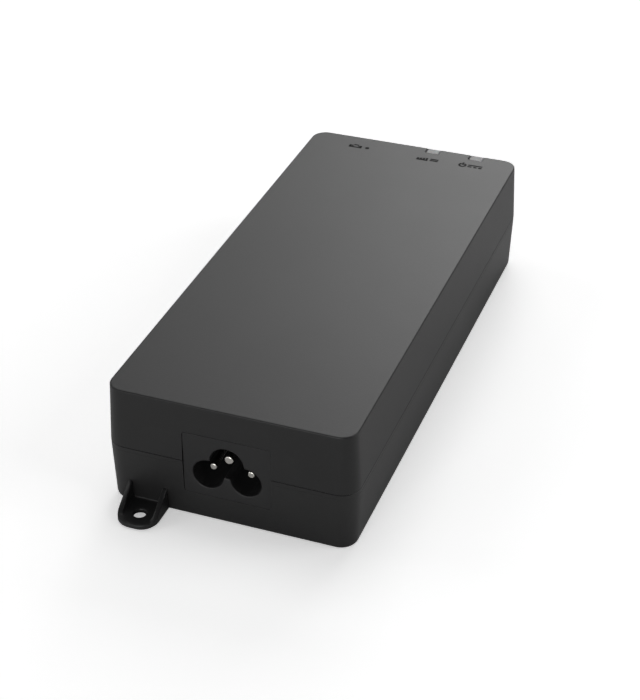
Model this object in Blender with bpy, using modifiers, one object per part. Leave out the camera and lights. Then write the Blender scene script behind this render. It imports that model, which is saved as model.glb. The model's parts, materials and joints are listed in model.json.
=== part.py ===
"""A single-port PoE injector: a mains supply in a moulded two-part case.

The three-pin inlet is at the -Y end and the two network jacks are at the +Y end.
The origin is on the underside, at the middle of the case. +Z is up. Lengths are in metres.
"""

import math

import bmesh
import bpy
from mathutils import Matrix, Vector

MM = 0.001
SEAT = 0.3 * MM  # gap between two pieces that rest on each other
OVERLAP = 0.5 * MM  # how deep a joined shape is sunk into the shape that carries it
PAST = 2.0 * MM  # how far a cutter runs past the face that it leaves

# Case: two shells whose walls lean in from the seam
CASE_WIDTH = 65.0 * MM
CASE_LENGTH = 150.0 * MM
CASE_HEIGHT = 33.0 * MM
SEAM_HEIGHT = 16.5 * MM
SEAM_GAP = 0.3 * MM
CORNER_RADIUS = 5.0 * MM
COVER_LEAN = 0.75 * MM
BASE_LEAN = 0.65 * MM
WALL = 2.2 * MM
FLOOR = 2.2 * MM
ROOF = 2.2 * MM
TOP_EDGE_ROUND = 0.4 * MM
BOTTOM_EDGE_ROUND = 0.9 * MM
LIP_HEIGHT = 1.6 * MM
LIP_WIDTH = 0.9 * MM
LIP_GAP = 0.25 * MM
LEAST_RADIUS = 0.4 * MM
ARC_STEPS = 6

# Fixing ears, one at each end on opposite sides
EAR_INSET = 10.9 * MM  # from the side of the case to the ear's middle
EAR_WIDTH = 10.7 * MM
EAR_REACH = 10.4 * MM
EAR_THICKNESS = 1.5 * MM
EAR_TIP_RADIUS = 4.5 * MM
EAR_HOLE_RADIUS = 2.1 * MM
EAR_HOLE_OUT = 5.9 * MM
GUSSET_THICKNESS = 1.3 * MM
GUSSET_HEIGHT = 6.7 * MM
GUSSET_REACH = 7.6 * MM
GUSSET_END_HEIGHT = 0.4 * MM

# Case screws, driven from beneath
SCREW_INSET_Y = 7.7 * MM
SCREW_RADIUS = 1.15 * MM
SCREW_LENGTH = 21.0 * MM
SCREW_HEAD_RADIUS = 2.7 * MM
SCREW_HEAD_HEIGHT = 1.6 * MM
SCREW_HEAD_ROUND = 0.5 * MM
SCREW_HEAD_RECESS = 0.2 * MM
SCREW_GAP = 0.25 * MM
BOSS_RADIUS = 2.4 * MM
BOSS_GAP = 0.25 * MM
BASE_BOSS_TOP = 13.5 * MM
PAD_HALF_WIDTH = 4.2 * MM
PAD_OVER_HEAD = 1.9 * MM

# Mains inlet
INLET_X = 0.2 * MM
INLET_HEIGHT = 16.4 * MM  # of the inlet's middle above the underside
INLET_FACE_WIDTH = 22.2 * MM
INLET_FACE_HEIGHT = 17.6 * MM
INLET_FACE_ROUND = 0.8 * MM
INLET_SET_BACK = 0.4 * MM
INLET_GAP = 0.3 * MM
INLET_DEPTH = 16.6 * MM
INLET_BACK = 2.6 * MM
INLET_FLANGE_BORDER = 1.4 * MM
INLET_FLANGE_THICKNESS = 1.5 * MM
LOBE_SPREAD = 4.93 * MM  # from the inlet's middle to the line and neutral pins
LOBE_RADIUS = 4.0 * MM
LOBE_DROP = 2.1 * MM
CROWN_RADIUS = 4.4 * MM
CROWN_RISE = 2.3 * MM
PIN_RADIUS = 1.2 * MM
PIN_SET_BACK = 3.1 * MM
EARTH_PIN_SET_BACK = 1.35 * MM
PIN_TIP_ROUND = 0.35 * MM
PIN_TAIL = 1.8 * MM
PIN_GAP = 0.15 * MM
CRADLE_THICKNESS = 1.6 * MM
CRADLE_INSET = 4.0 * MM
STOP_BELOW_PINS = 0.5 * MM
STOP_HALF_WIDTH = 6.0 * MM
LEAD_RADIUS = 0.8 * MM
LEAD_STEPS = 8

# Circuit board
BOARD_LIFT = 2.8 * MM
BOARD_THICKNESS = 1.6 * MM
BOARD_SIDE_GAP = 0.7 * MM
BOARD_END_GAP = 0.6 * MM
BOARD_BEHIND_INLET = 3.4 * MM
BOARD_BOSS_GAP = 0.6 * MM
LANDING_STRIP = 6.0 * MM  # bare strip by the inlet, for the leads and the board's screws
ROW_MARGIN = 1.0 * MM
POST_RADIUS = 2.4 * MM
POST_INSET = 4.0 * MM
BOARD_SCREW_INSET_Y = 3.3 * MM
BOARD_SCREW_RADIUS = 1.1 * MM
BOARD_SCREW_LENGTH = 4.6 * MM
BOARD_SCREW_HEAD_RADIUS = 2.1 * MM
BOARD_SCREW_HEAD_HEIGHT = 1.5 * MM

# Parts on the board: width across X, length along Y, height
FUSE_RADIUS = 4.2 * MM
FUSE_HEIGHT = 8.0 * MM
VARISTOR_RADIUS = 5.0 * MM
VARISTOR_THICKNESS = 4.4 * MM
BRIDGE_SIZE = (15.0 * MM, 4.6 * MM, 11.0 * MM)
SUPPLY_CHIP_SIZE = (6.0 * MM, 5.0 * MM, 1.6 * MM)
X_CAPACITOR_SIZE = (8.5 * MM, 18.0 * MM, 15.0 * MM)
CHOKE_RING_RADIUS = 6.0 * MM
CHOKE_WIRE_RADIUS = 3.0 * MM
BULK_RADIUS = 9.0 * MM
BULK_HEIGHT = 20.0 * MM
CORE_WIDTH = 27.0 * MM
CORE_LENGTH = 11.0 * MM
CORE_HEIGHT = 20.0 * MM
CORE_BAR = 4.0 * MM
CORE_LEG = 7.0 * MM
WINDING_LENGTH = 20.0 * MM
SINK_THICKNESS = 2.0 * MM
SINK_LENGTH = 20.0 * MM
SINK_HEIGHT = 21.0 * MM
TRANSISTOR_SIZE = (4.6 * MM, 10.2 * MM, 15.8 * MM)
TRANSISTOR_LIFT = 4.0 * MM
TRANSISTOR_LEG = 0.8 * MM
TRANSISTOR_LEG_PITCH = 2.54 * MM
COUPLER_SIZE = (6.5 * MM, 4.6 * MM, 3.6 * MM)
COUPLER_OFFSET = 5.0 * MM
Y_CAPACITOR_RADIUS = 4.0 * MM
Y_CAPACITOR_THICKNESS = 3.6 * MM
OUTPUT_RADIUS = 6.25 * MM
OUTPUT_HEIGHT = 20.0 * MM
CRIMP_DEPTH = 0.6 * MM
CRIMP_HEIGHT = 2.4 * MM
OUTPUT_CHOKE_RADIUS = 6.5 * MM
OUTPUT_CHOKE_WAIST = 4.6 * MM
OUTPUT_CHOKE_HEIGHT = 12.0 * MM
OUTPUT_CHOKE_FLANGE = 1.5 * MM
DATA_TRANSFORMER_SIZE = (12.7 * MM, 16.0 * MM, 6.0 * MM)
PORT_CHIP_SIZE = (8.0 * MM, 8.0 * MM, 1.4 * MM)
CASE_PART_ROUND = 0.4 * MM

# Network jacks
JACK_SIDE_GAP = 0.7 * MM  # from the data jack to the screw boss beside it
PIPE_SIDE_GAP = 3.25 * MM  # from the outer light pipe to the screw boss beside it
JACK_WIDTH = 16.0 * MM
JACK_HEIGHT = 13.4 * MM
JACK_DEPTH = 21.3 * MM
JACK_SET_BACK = 0.4 * MM
PORT_GAP = 0.3 * MM
SHIELD_SHEET = 0.3 * MM
SHIELD_GAP = 0.2 * MM
SHIELD_WINDOW_GAP = 0.4 * MM
SOCKET_WIDTH = 11.9 * MM
SOCKET_HEIGHT = 6.9 * MM
SOCKET_DEPTH = 14.5 * MM
SOCKET_FLOOR = 2.3 * MM
LATCH_WIDTH = 6.4 * MM
LATCH_HEIGHT = 1.4 * MM
LATCH_DEPTH = 9.0 * MM
KEY_WIDTH = 3.4 * MM
KEY_HEIGHT = 1.4 * MM
CONTACT_COUNT = 8
CONTACT_PITCH = 1.02 * MM
CONTACT_WIDTH = 0.45 * MM
CONTACT_LENGTH = 6.2 * MM
CONTACT_BAR = 0.9 * MM
CONTACT_SET_BACK = 4.0 * MM
CONTACT_LIFT = 0.75 * MM
CONTACT_ANGLE = 16.0  # degrees above level, at rest

# Indicator light pipes over the power jack
WINDOW_SPREAD = 6.7 * MM  # from the power jack's middle to each window's middle
WINDOW_WIDTH = 4.1 * MM
WINDOW_DEPTH = 3.2 * MM
WINDOW_DROP = 3.4 * MM
WINDOW_GAP = 0.2 * MM
PIPE_THICKNESS = 2.4 * MM
LED_WIDTH = 3.2 * MM
LED_HEIGHT = 1.9 * MM

# Heights and ends that the sizes above fix
BOARD_BOTTOM = FLOOR + BOARD_LIFT
BOARD_TOP = BOARD_BOTTOM + BOARD_THICKNESS
ON_BOARD = BOARD_TOP + SEAT
SOCKET_BOTTOM = ON_BOARD + SOCKET_FLOOR
INLET_LOW = INLET_HEIGHT - INLET_FACE_HEIGHT / 2
INLET_HIGH = INLET_HEIGHT + INLET_FACE_HEIGHT / 2


def lean(z):
    """How far the outline at height z lies inside the outline at the seam."""
    if z > SEAM_HEIGHT:
        return COVER_LEAN * (z - SEAM_HEIGHT) / (CASE_HEIGHT - SEAM_HEIGHT)
    return BASE_LEAN * (SEAM_HEIGHT - z) / SEAM_HEIGHT


def side(z):
    """Half the case's width at height z."""
    return CASE_WIDTH / 2 - lean(z)


def end(z):
    """Half the case's length at height z."""
    return CASE_LENGTH / 2 - lean(z)


INLET_FRONT = -(min(end(INLET_LOW), end(INLET_HIGH)) - INLET_SET_BACK)
INLET_REAR = INLET_FRONT + INLET_DEPTH
JACK_FRONT = min(end(ON_BOARD), end(ON_BOARD + JACK_HEIGHT)) - JACK_SET_BACK
JACK_REAR = JACK_FRONT - JACK_DEPTH
BOARD_NEAR = INLET_REAR + BOARD_BEHIND_INLET
BOARD_FAR = end(BOARD_BOTTOM) - WALL - BOARD_END_GAP
BOARD_SIDE = side(BOARD_BOTTOM) - WALL - BOARD_SIDE_GAP
SCREW_X = side(0.0) - WALL - BOSS_GAP - BOSS_RADIUS
SCREW_Y = CASE_LENGTH / 2 - SCREW_INSET_Y
HEAD_SEAT = SCREW_HEAD_RECESS + SCREW_HEAD_HEIGHT + SEAT
PAD_TOP = HEAD_SEAT + PAD_OVER_HEAD
DATA_IN_X = -(SCREW_X - BOSS_RADIUS - JACK_SIDE_GAP - JACK_WIDTH / 2)
POWER_OUT_X = SCREW_X - BOSS_RADIUS - PIPE_SIDE_GAP - WINDOW_WIDTH / 2 - WINDOW_SPREAD
PIPE_FRONT = JACK_REAR - SEAT
PIPE_REAR = PIPE_FRONT - PIPE_THICKNESS

parts = None
helpers = None


def start_scene():
    """Empties the scene and makes the two collections."""
    global parts, helpers
    for obj in list(bpy.data.objects):
        bpy.data.objects.remove(obj, do_unlink=True)
    parts = bpy.data.collections.new("poe_injector")
    helpers = bpy.data.collections.new("cutters")
    for collection in (parts, helpers):
        bpy.context.scene.collection.children.link(collection)


def finish(name, color, roughness, metallic=0.0):
    """A Principled material."""
    material = bpy.data.materials.new(name)
    material.use_nodes = True
    shader = material.node_tree.nodes["Principled BSDF"]
    shader.inputs["Base Color"].default_value = (*color, 1.0)
    shader.inputs["Roughness"].default_value = roughness
    shader.inputs["Metallic"].default_value = metallic
    material.diffuse_color = (*color, 1.0)
    return material


def place(name, data, material):
    """An object in the parts, or among the cutters when it has no material."""
    obj = bpy.data.objects.new(name, data)
    if material is None:
        helpers.objects.link(obj)
        obj.hide_render = True
        obj.display_type = "WIRE"
    else:
        data.materials.append(material)
        parts.objects.link(obj)
    return obj


def from_bmesh(name, bm, material):
    """An object of the bmesh, with its faces turned outwards."""
    bmesh.ops.recalc_face_normals(bm, faces=bm.faces)
    mesh = bpy.data.meshes.new(name)
    bm.to_mesh(mesh)
    bm.free()
    return place(name, mesh, material)


def smooth(obj):
    """Smooth shading with the sharp edges kept."""
    obj.data.shade_smooth()
    obj.data.set_sharp_from_angle(angle=math.radians(35))


def block(name, low, high, material=None, rounding=0.0):
    """A box between two corners."""
    low, high = Vector(low), Vector(high)
    bm = bmesh.new()
    bmesh.ops.create_cube(bm, size=1.0, matrix=Matrix.Diagonal((*(high - low), 1.0)))
    obj = from_bmesh(name, bm, material)
    obj.location = (low + high) / 2
    if rounding:
        bevel = obj.modifiers.new("rounding", "BEVEL")
        bevel.width = rounding
        bevel.segments = 2
    return obj


def rounded_block(name, low, high, radius, axis, material=None):
    """A box whose four edges along one axis are rounded."""
    low, high = Vector(low), Vector(high)
    bm = bmesh.new()
    bmesh.ops.create_cube(bm, size=1.0, matrix=Matrix.Diagonal((*(high - low), 1.0)))
    along = [e for e in bm.edges if abs((e.verts[0].co - e.verts[1].co).normalized()[axis]) > 0.9]
    bmesh.ops.bevel(bm, geom=along, offset=radius, segments=ARC_STEPS, profile=0.5, affect="EDGES")
    obj = from_bmesh(name, bm, material)
    obj.location = (low + high) / 2
    return obj


def rod(name, centre, radius, length, axis, material=None, sides=32):
    """A cylinder about a point, along X, Y or Z."""
    turn = {"X": Matrix.Rotation(math.pi / 2, 4, "Y"), "Y": Matrix.Rotation(math.pi / 2, 4, "X")}
    bm = bmesh.new()
    bmesh.ops.create_cone(
        bm,
        cap_ends=True,
        segments=sides,
        radius1=radius,
        radius2=radius,
        depth=length,
        matrix=turn.get(axis, Matrix.Identity(4)),
    )
    obj = from_bmesh(name, bm, material)
    obj.location = centre
    smooth(obj)
    return obj


def turned(name, profile, material, sides=24):
    """A turned piece about Z. The profile is (radius, height) from the top down its outer side."""
    mesh = bpy.data.meshes.new(name)
    points = [(radius, 0.0, height) for radius, height in profile]
    mesh.from_pydata(points, [(i, i + 1) for i in range(len(points) - 1)], [])
    obj = place(name, mesh, material)
    screw = obj.modifiers.new("turn", "SCREW")
    screw.steps = sides
    screw.render_steps = sides
    screw.use_merge_vertices = True
    screw.merge_threshold = 0.00001
    screw.use_smooth_shade = True
    return obj


def prism(name, outline, axis, low, high, material=None):
    """A flat outline drawn out along X or Z. It holds (y, z) pairs for X and (x, y) pairs for Z."""
    bm = bmesh.new()
    if axis == "X":
        corners = [bm.verts.new((low, a, b)) for a, b in outline]
        step = Vector((high - low, 0, 0))
    else:
        corners = [bm.verts.new((a, b, low)) for a, b in outline]
        step = Vector((0, 0, high - low))
    face = bm.faces.new(corners)
    drawn = bmesh.ops.extrude_face_region(bm, geom=[face])["geom"]
    bmesh.ops.translate(bm, vec=step, verts=[v for v in drawn if isinstance(v, bmesh.types.BMVert)])
    return from_bmesh(name, bm, material)


def case_ring(inset):
    """The case's rounded outline, drawn in by the inset, as (x, y) pairs."""
    radius = max(CORNER_RADIUS - inset, LEAST_RADIUS)
    half_x = CASE_WIDTH / 2 - inset - radius
    half_y = CASE_LENGTH / 2 - inset - radius
    ring = []
    for corner, (sx, sy) in enumerate(((1, 1), (-1, 1), (-1, -1), (1, -1))):
        for step in range(ARC_STEPS + 1):
            angle = math.pi / 2 * (corner + step / ARC_STEPS)
            ring.append((sx * half_x + radius * math.cos(angle), sy * half_y + radius * math.sin(angle)))
    return ring


def case_loft(name, sections, material=None):
    """A closed body through case outlines, given as (height, inset) from the bottom up."""
    bm = bmesh.new()
    rings = [[bm.verts.new((x, y, z)) for x, y in case_ring(inset)] for z, inset in sections]
    count = len(rings[0])
    for lower, upper in zip(rings, rings[1:]):
        for i in range(count):
            j = (i + 1) % count
            bm.faces.new((lower[i], lower[j], upper[j], upper[i]))
    bm.faces.new(rings[0][::-1])
    bm.faces.new(rings[-1])
    return from_bmesh(name, bm, material)


def combine(obj, other, operation):
    """A Boolean modifier on the object."""
    modifier = obj.modifiers.new(other.name, "BOOLEAN")
    modifier.operation = operation
    modifier.object = other
    modifier.solver = "MANIFOLD"


def cut(obj, *cutters):
    """Takes each cutter out of the object."""
    for cutter in cutters:
        combine(obj, cutter, "DIFFERENCE")


def join(obj, *shapes):
    """Adds each helper shape to the object."""
    for shape in shapes:
        combine(obj, shape, "UNION")


def spread(sizes, low, high):
    """Middles of pieces laid side by side between two ends with equal gaps."""
    gap = (high - low - sum(sizes)) / (len(sizes) + 1)
    middles = []
    edge = low
    for size in sizes:
        middles.append(edge + gap + size / 2)
        edge += gap + size
    return middles


def corners():
    """The four screw places as (number, x, y)."""
    places = ((-SCREW_X, -SCREW_Y), (SCREW_X, -SCREW_Y), (-SCREW_X, SCREW_Y), (SCREW_X, SCREW_Y))
    return [(i + 1, x, y) for i, (x, y) in enumerate(places)]


def post_places():
    """Board posts as (name, x, y); the two nearest the inlet take screws."""
    x = BOARD_SIDE - POST_INSET
    near = BOARD_NEAR + BOARD_SCREW_INSET_Y
    far = SCREW_Y - BOSS_RADIUS - BOARD_BOSS_GAP - POST_INSET
    places = []
    for row, y in (("near", near), ("middle", (near + far) / 2), ("far", far)):
        places.append((f"{row}_left", -x, y))
        places.append((f"{row}_right", x, y))
    return places


def inlet_opening():
    """Cutter for the inlet's hole, half in each shell."""
    half_x = INLET_FACE_WIDTH / 2 + INLET_GAP
    half_z = INLET_FACE_HEIGHT / 2 + INLET_GAP
    near = -CASE_LENGTH / 2
    low = (INLET_X - half_x, near - PAST, INLET_HEIGHT - half_z)
    high = (INLET_X + half_x, near + WALL + BASE_LEAN + COVER_LEAN, INLET_HEIGHT + half_z)
    return rounded_block("inlet_opening", low, high, INLET_FACE_ROUND + INLET_GAP, 1)


def port_opening(name, x):
    """Cutter for one jack's hole in the far end."""
    half_x = JACK_WIDTH / 2 + PORT_GAP
    far = CASE_LENGTH / 2
    low = (x - half_x, far - WALL - BASE_LEAN - COVER_LEAN, ON_BOARD - PORT_GAP)
    return block(name, low, (x + half_x, far + PAST, ON_BOARD + JACK_HEIGHT + PORT_GAP))


def window_places():
    """The light pipes' names and middles."""
    return (("left", POWER_OUT_X - WINDOW_SPREAD), ("right", POWER_OUT_X + WINDOW_SPREAD))


def window_opening(name, x):
    """Cutter for one indicator window, through the cover's top edge at the far end."""
    half_x = WINDOW_WIDTH / 2 + WINDOW_GAP
    far = end(CASE_HEIGHT)
    low = (x - half_x, far - WINDOW_DEPTH - WINDOW_GAP, CASE_HEIGHT - WINDOW_DROP - WINDOW_GAP)
    return block(name, low, (x + half_x, far + PAST, CASE_HEIGHT + PAST))


def ear_shapes(name, turn):
    """One ear's plate and gussets as helpers, with its hole's cutter, turned about Z."""
    x = -(CASE_WIDTH / 2 - EAR_INSET)
    wall = -end(0.0)
    tip = wall - EAR_REACH
    root = wall + WALL / 2
    left, right = x - EAR_WIDTH / 2, x + EAR_WIDTH / 2
    outline = [(right, root), (left, root)]
    for sign, start in ((-1, math.pi), (1, 1.5 * math.pi)):
        middle_x = x + sign * (EAR_WIDTH / 2 - EAR_TIP_RADIUS)
        for step in range(ARC_STEPS + 1):
            angle = start + math.pi / 2 * step / ARC_STEPS
            outline.append(
                (
                    middle_x + EAR_TIP_RADIUS * math.cos(angle),
                    tip + EAR_TIP_RADIUS + EAR_TIP_RADIUS * math.sin(angle),
                )
            )
    shapes = [prism(f"{name}_plate", outline, "Z", 0.0, EAR_THICKNESS)]
    foot = EAR_THICKNESS - OVERLAP
    slope = [
        (root, foot),
        (wall - GUSSET_REACH, foot),
        (wall - GUSSET_REACH, EAR_THICKNESS + GUSSET_END_HEIGHT),
        (wall, GUSSET_HEIGHT),
        (root, GUSSET_HEIGHT),
    ]
    for which, low in (("left", left), ("right", right - GUSSET_THICKNESS)):
        shapes.append(prism(f"{name}_gusset_{which}", slope, "X", low, low + GUSSET_THICKNESS))
    hole_at = (x, wall - EAR_HOLE_OUT, EAR_THICKNESS / 2)
    hole = rod(f"{name}_hole", hole_at, EAR_HOLE_RADIUS, EAR_THICKNESS + 2 * PAST, "Z")
    about = Matrix.Rotation(turn, 4, "Z")
    for shape in (*shapes, hole):
        shape.matrix_world = about @ Matrix.LocRotScale(shape.location, None, None)
    return shapes, hole


def base_case(material, openings):
    """Lower shell with its lip, ears, screw bosses, board posts and inlet cradle."""
    low_edge = lean(0.0) + BOTTOM_EDGE_ROUND * (1 - math.cos(math.pi / 4))
    sections = [
        (0.0, lean(0.0) + BOTTOM_EDGE_ROUND),
        (BOTTOM_EDGE_ROUND * (1 - math.sin(math.pi / 4)), low_edge),
        (BOTTOM_EDGE_ROUND, lean(BOTTOM_EDGE_ROUND)),
        (SEAM_HEIGHT - SEAM_GAP / 2, lean(SEAM_HEIGHT - SEAM_GAP / 2)),
    ]
    base = case_loft("base_case", sections, material)
    lip_inset = WALL - LIP_WIDTH
    lip_top = SEAM_HEIGHT + LIP_HEIGHT
    join(base, case_loft("lip", [(SEAM_HEIGHT - PAST, lip_inset), (lip_top, lip_inset)]))
    inside = [(FLOOR, lean(FLOOR) + WALL), (SEAM_HEIGHT, WALL), (lip_top + PAST, WALL)]
    cut(base, case_loft("base_inside", inside))
    holes = []
    well_radius, bore_radius = SCREW_HEAD_RADIUS + SCREW_GAP, SCREW_RADIUS + SCREW_GAP
    hole_profile = [
        (0.0, BASE_BOSS_TOP + PAST),
        (bore_radius, BASE_BOSS_TOP + PAST),
        (bore_radius, HEAD_SEAT),
        (well_radius, HEAD_SEAT),
        (well_radius, -PAST),
        (0.0, -PAST),
    ]
    for number, x, y in corners():
        sign_x = math.copysign(1, x)
        outer = sign_x * (side(0.0) - WALL / 2)
        inner = x - sign_x * PAD_HALF_WIDTH
        low = (min(inner, outer), y - PAD_HALF_WIDTH, FLOOR - OVERLAP)
        join(base, block(f"pad_{number}", low, (max(inner, outer), y + PAD_HALF_WIDTH, PAD_TOP)))
        bottom = PAD_TOP - OVERLAP
        boss_at = (x, y, (bottom + BASE_BOSS_TOP) / 2)
        join(base, rod(f"base_boss_{number}", boss_at, BOSS_RADIUS, BASE_BOSS_TOP - bottom, "Z"))
        hole = turned(f"screw_hole_{number}", hole_profile, None, sides=32)
        hole.location = (x, y, 0.0)
        holes.append(hole)
    post_top = BOARD_BOTTOM - SEAT
    for name, x, y in post_places():
        post_at = (x, y, (FLOOR - OVERLAP + post_top) / 2)
        join(base, rod(f"post_{name}", post_at, POST_RADIUS, post_top - FLOOR + OVERLAP, "Z", sides=16))
        if name.startswith("near"):
            tip = BOARD_TOP - BOARD_SCREW_LENGTH
            bore_at = (x, y, (tip + post_top + PAST) / 2)
            post_bore = BOARD_SCREW_RADIUS + SCREW_GAP
            holes.append(rod(f"post_bore_{name}", bore_at, post_bore, post_top + PAST - tip, "Z", sides=16))
    join(base, *inlet_cradle("base", FLOOR - OVERLAP, INLET_LOW - SEAT))
    stop_low = (INLET_X - STOP_HALF_WIDTH, INLET_REAR + SEAT, FLOOR - OVERLAP)
    stop_top = INLET_HEIGHT - LOBE_DROP - PIN_RADIUS - STOP_BELOW_PINS
    stop_high = (INLET_X + STOP_HALF_WIDTH, INLET_REAR + SEAT + CRADLE_THICKNESS, stop_top)
    join(base, block("inlet_stop", stop_low, stop_high))
    for name, turn in (("ear_inlet_end", 0.0), ("ear_port_end", math.pi)):
        shapes, hole = ear_shapes(name, turn)
        join(base, *shapes)
        holes.append(hole)
    cut(base, *holes, *openings)
    smooth(base)
    return base


def inlet_cradle(name, low, high):
    """Two ribs that hold the inlet's body from below or above."""
    ribs = []
    front = INLET_FRONT + INLET_DEPTH / 2
    for which, sign in (("left", -1), ("right", 1)):
        x = INLET_X + sign * (INLET_FACE_WIDTH / 2 - CRADLE_INSET)
        corner = (x - CRADLE_THICKNESS / 2, front, low)
        ribs.append(block(f"{name}_rib_{which}", corner, (x + CRADLE_THICKNESS / 2, INLET_REAR, high)))
    return ribs


def top_cover(material, openings):
    """Upper shell with its lip groove, screw bosses and the indicator windows."""
    bottom = SEAM_HEIGHT + SEAM_GAP / 2
    edge = CASE_HEIGHT - TOP_EDGE_ROUND
    sections = [
        (bottom, lean(bottom)),
        (edge, lean(edge)),
        (
            edge + TOP_EDGE_ROUND * math.sin(math.pi / 4),
            lean(CASE_HEIGHT) + TOP_EDGE_ROUND * (1 - math.cos(math.pi / 4)),
        ),
        (CASE_HEIGHT, lean(CASE_HEIGHT) + TOP_EDGE_ROUND),
    ]
    cover = case_loft("top_cover", sections, material)
    roof = CASE_HEIGHT - ROOF
    inside = [(SEAM_HEIGHT - PAST, WALL), (bottom, WALL + lean(bottom)), (roof, WALL + lean(roof))]
    cut(cover, case_loft("cover_inside", inside))
    groove_inset = WALL - LIP_WIDTH - LIP_GAP
    groove_top = SEAM_HEIGHT + LIP_HEIGHT + LIP_GAP
    cut(cover, case_loft("lip_groove", [(SEAM_HEIGHT - PAST, groove_inset), (groove_top, groove_inset)]))
    holes = []
    boss_low = BASE_BOSS_TOP + SEAT
    tip = SCREW_HEAD_RECESS + SCREW_HEAD_HEIGHT + SCREW_LENGTH + SEAT
    for number, x, y in corners():
        boss_at = (x, y, (boss_low + roof + OVERLAP) / 2)
        join(cover, rod(f"cover_boss_{number}", boss_at, BOSS_RADIUS, roof + OVERLAP - boss_low, "Z"))
        bore_at = (x, y, (boss_low - PAST + tip) / 2)
        holes.append(rod(f"pilot_{number}", bore_at, SCREW_RADIUS + SCREW_GAP, tip - boss_low + PAST, "Z"))
    join(cover, *inlet_cradle("cover", INLET_HIGH + SEAT, roof + OVERLAP))
    windows = [window_opening(f"window_{name}", x) for name, x in window_places()]
    cut(cover, *holes, *openings, *windows)
    smooth(cover)
    return cover


def screw_profile(radius, length, head_radius, head_height):
    """A screw standing on its tip, head up, with the head's underside at height 0."""
    return [
        (0.0, head_height),
        (head_radius - SCREW_HEAD_ROUND, head_height),
        (head_radius, head_height - SCREW_HEAD_ROUND),
        (head_radius, 0.0),
        (radius, 0.0),
        (radius, -length + radius),
        (0.0, -length),
    ]


def case_screws(material):
    """Four screws, heads down in their wells."""
    profile = screw_profile(SCREW_RADIUS, SCREW_LENGTH, SCREW_HEAD_RADIUS, SCREW_HEAD_HEIGHT)
    for number, x, y in corners():
        screw = turned(f"case_screw_{number}", profile, material, sides=16)
        screw.location = (x, y, SCREW_HEAD_RECESS + SCREW_HEAD_HEIGHT)
        screw.rotation_euler = (math.pi, 0.0, 0.0)


def pin_places():
    """The inlet's pins as (name, x, z, set back)."""
    low = INLET_HEIGHT - LOBE_DROP
    return (
        ("neutral", INLET_X - LOBE_SPREAD, low, PIN_SET_BACK),
        ("line", INLET_X + LOBE_SPREAD, low, PIN_SET_BACK),
        ("earth", INLET_X, INLET_HEIGHT + CROWN_RISE, EARTH_PIN_SET_BACK),
    )


def inlet(body, metal, sleeves):
    """The three-pin inlet with its pins and the leads to the board."""
    half_x, half_z = INLET_FACE_WIDTH / 2, INLET_FACE_HEIGHT / 2
    low = (INLET_X - half_x, INLET_FRONT, INLET_HEIGHT - half_z)
    high = (INLET_X + half_x, INLET_REAR, INLET_HEIGHT + half_z)
    housing = rounded_block("inlet_housing", low, high, INLET_FACE_ROUND, 1, body)
    flange_y = -(min(end(INLET_LOW), end(INLET_HIGH)) - WALL - SEAT)
    border = INLET_FLANGE_BORDER
    flange_low = (low[0] - border, flange_y, low[2] - border)
    flange_high = (high[0] + border, flange_y + INLET_FLANGE_THICKNESS, high[2] + border)
    join(housing, block("inlet_flange", flange_low, flange_high))
    floor_y = INLET_REAR - INLET_BACK
    middle_y = (INLET_FRONT - PAST + floor_y) / 2
    depth = floor_y - INLET_FRONT + PAST
    lobe_z = INLET_HEIGHT - LOBE_DROP
    crown_z = INLET_HEIGHT + CROWN_RISE
    for which, x, z, radius in (
        ("left", INLET_X - LOBE_SPREAD, lobe_z, LOBE_RADIUS),
        ("right", INLET_X + LOBE_SPREAD, lobe_z, LOBE_RADIUS),
        ("crown", INLET_X, crown_z - (CROWN_RADIUS - LOBE_RADIUS) / 2, CROWN_RADIUS),
    ):
        cut(housing, rod(f"inlet_lobe_{which}", (x, middle_y, z), radius, depth, "Y"))
    heart_low = (INLET_X - LOBE_SPREAD, INLET_FRONT - PAST, lobe_z)
    heart_high = (INLET_X + LOBE_SPREAD, floor_y, crown_z - LOBE_RADIUS / 4)
    cut(housing, block("inlet_heart", heart_low, heart_high))
    tail = INLET_REAR + PIN_TAIL
    for name, x, z, set_back in pin_places():
        bore_at = (x, INLET_REAR - INLET_BACK / 2, z)
        cut(housing, rod(f"{name}_bore", bore_at, PIN_RADIUS + PIN_GAP, INLET_BACK + 2 * PAST, "Y", sides=24))
        length = tail - INLET_FRONT - set_back
        profile = [
            (0.0, length),
            (PIN_RADIUS - PIN_TIP_ROUND, length),
            (PIN_RADIUS, length - PIN_TIP_ROUND),
            (PIN_RADIUS, 0.0),
            (0.0, 0.0),
        ]
        pin = turned(f"{name}_pin", profile, metal)
        pin.location = (x, tail, z)
        pin.rotation_euler = (math.pi / 2, 0.0, 0.0)
        lead(f"{name}_lead", x, tail + SEAT, z, sleeves[name])
    smooth(housing)


def lead(name, x, y, z, material):
    """An insulated wire that leaves a pin along Y and bends down to the board."""
    curve = bpy.data.curves.new(name, "CURVE")
    curve.dimensions = "3D"
    curve.bevel_depth = LEAD_RADIUS
    curve.bevel_resolution = 2
    curve.use_fill_caps = True
    spline = curve.splines.new("POLY")
    spline.points.add(LEAD_STEPS)
    run = BOARD_NEAR + LANDING_STRIP / 2 - y
    drop = z - ON_BOARD
    for step, point in enumerate(spline.points):
        angle = math.pi / 2 * step / LEAD_STEPS
        point.co = (0.0, run * math.sin(angle), drop * (math.cos(angle) - 1.0), 1.0)
    obj = place(name, curve, material)
    obj.location = (x, y, z)


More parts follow.
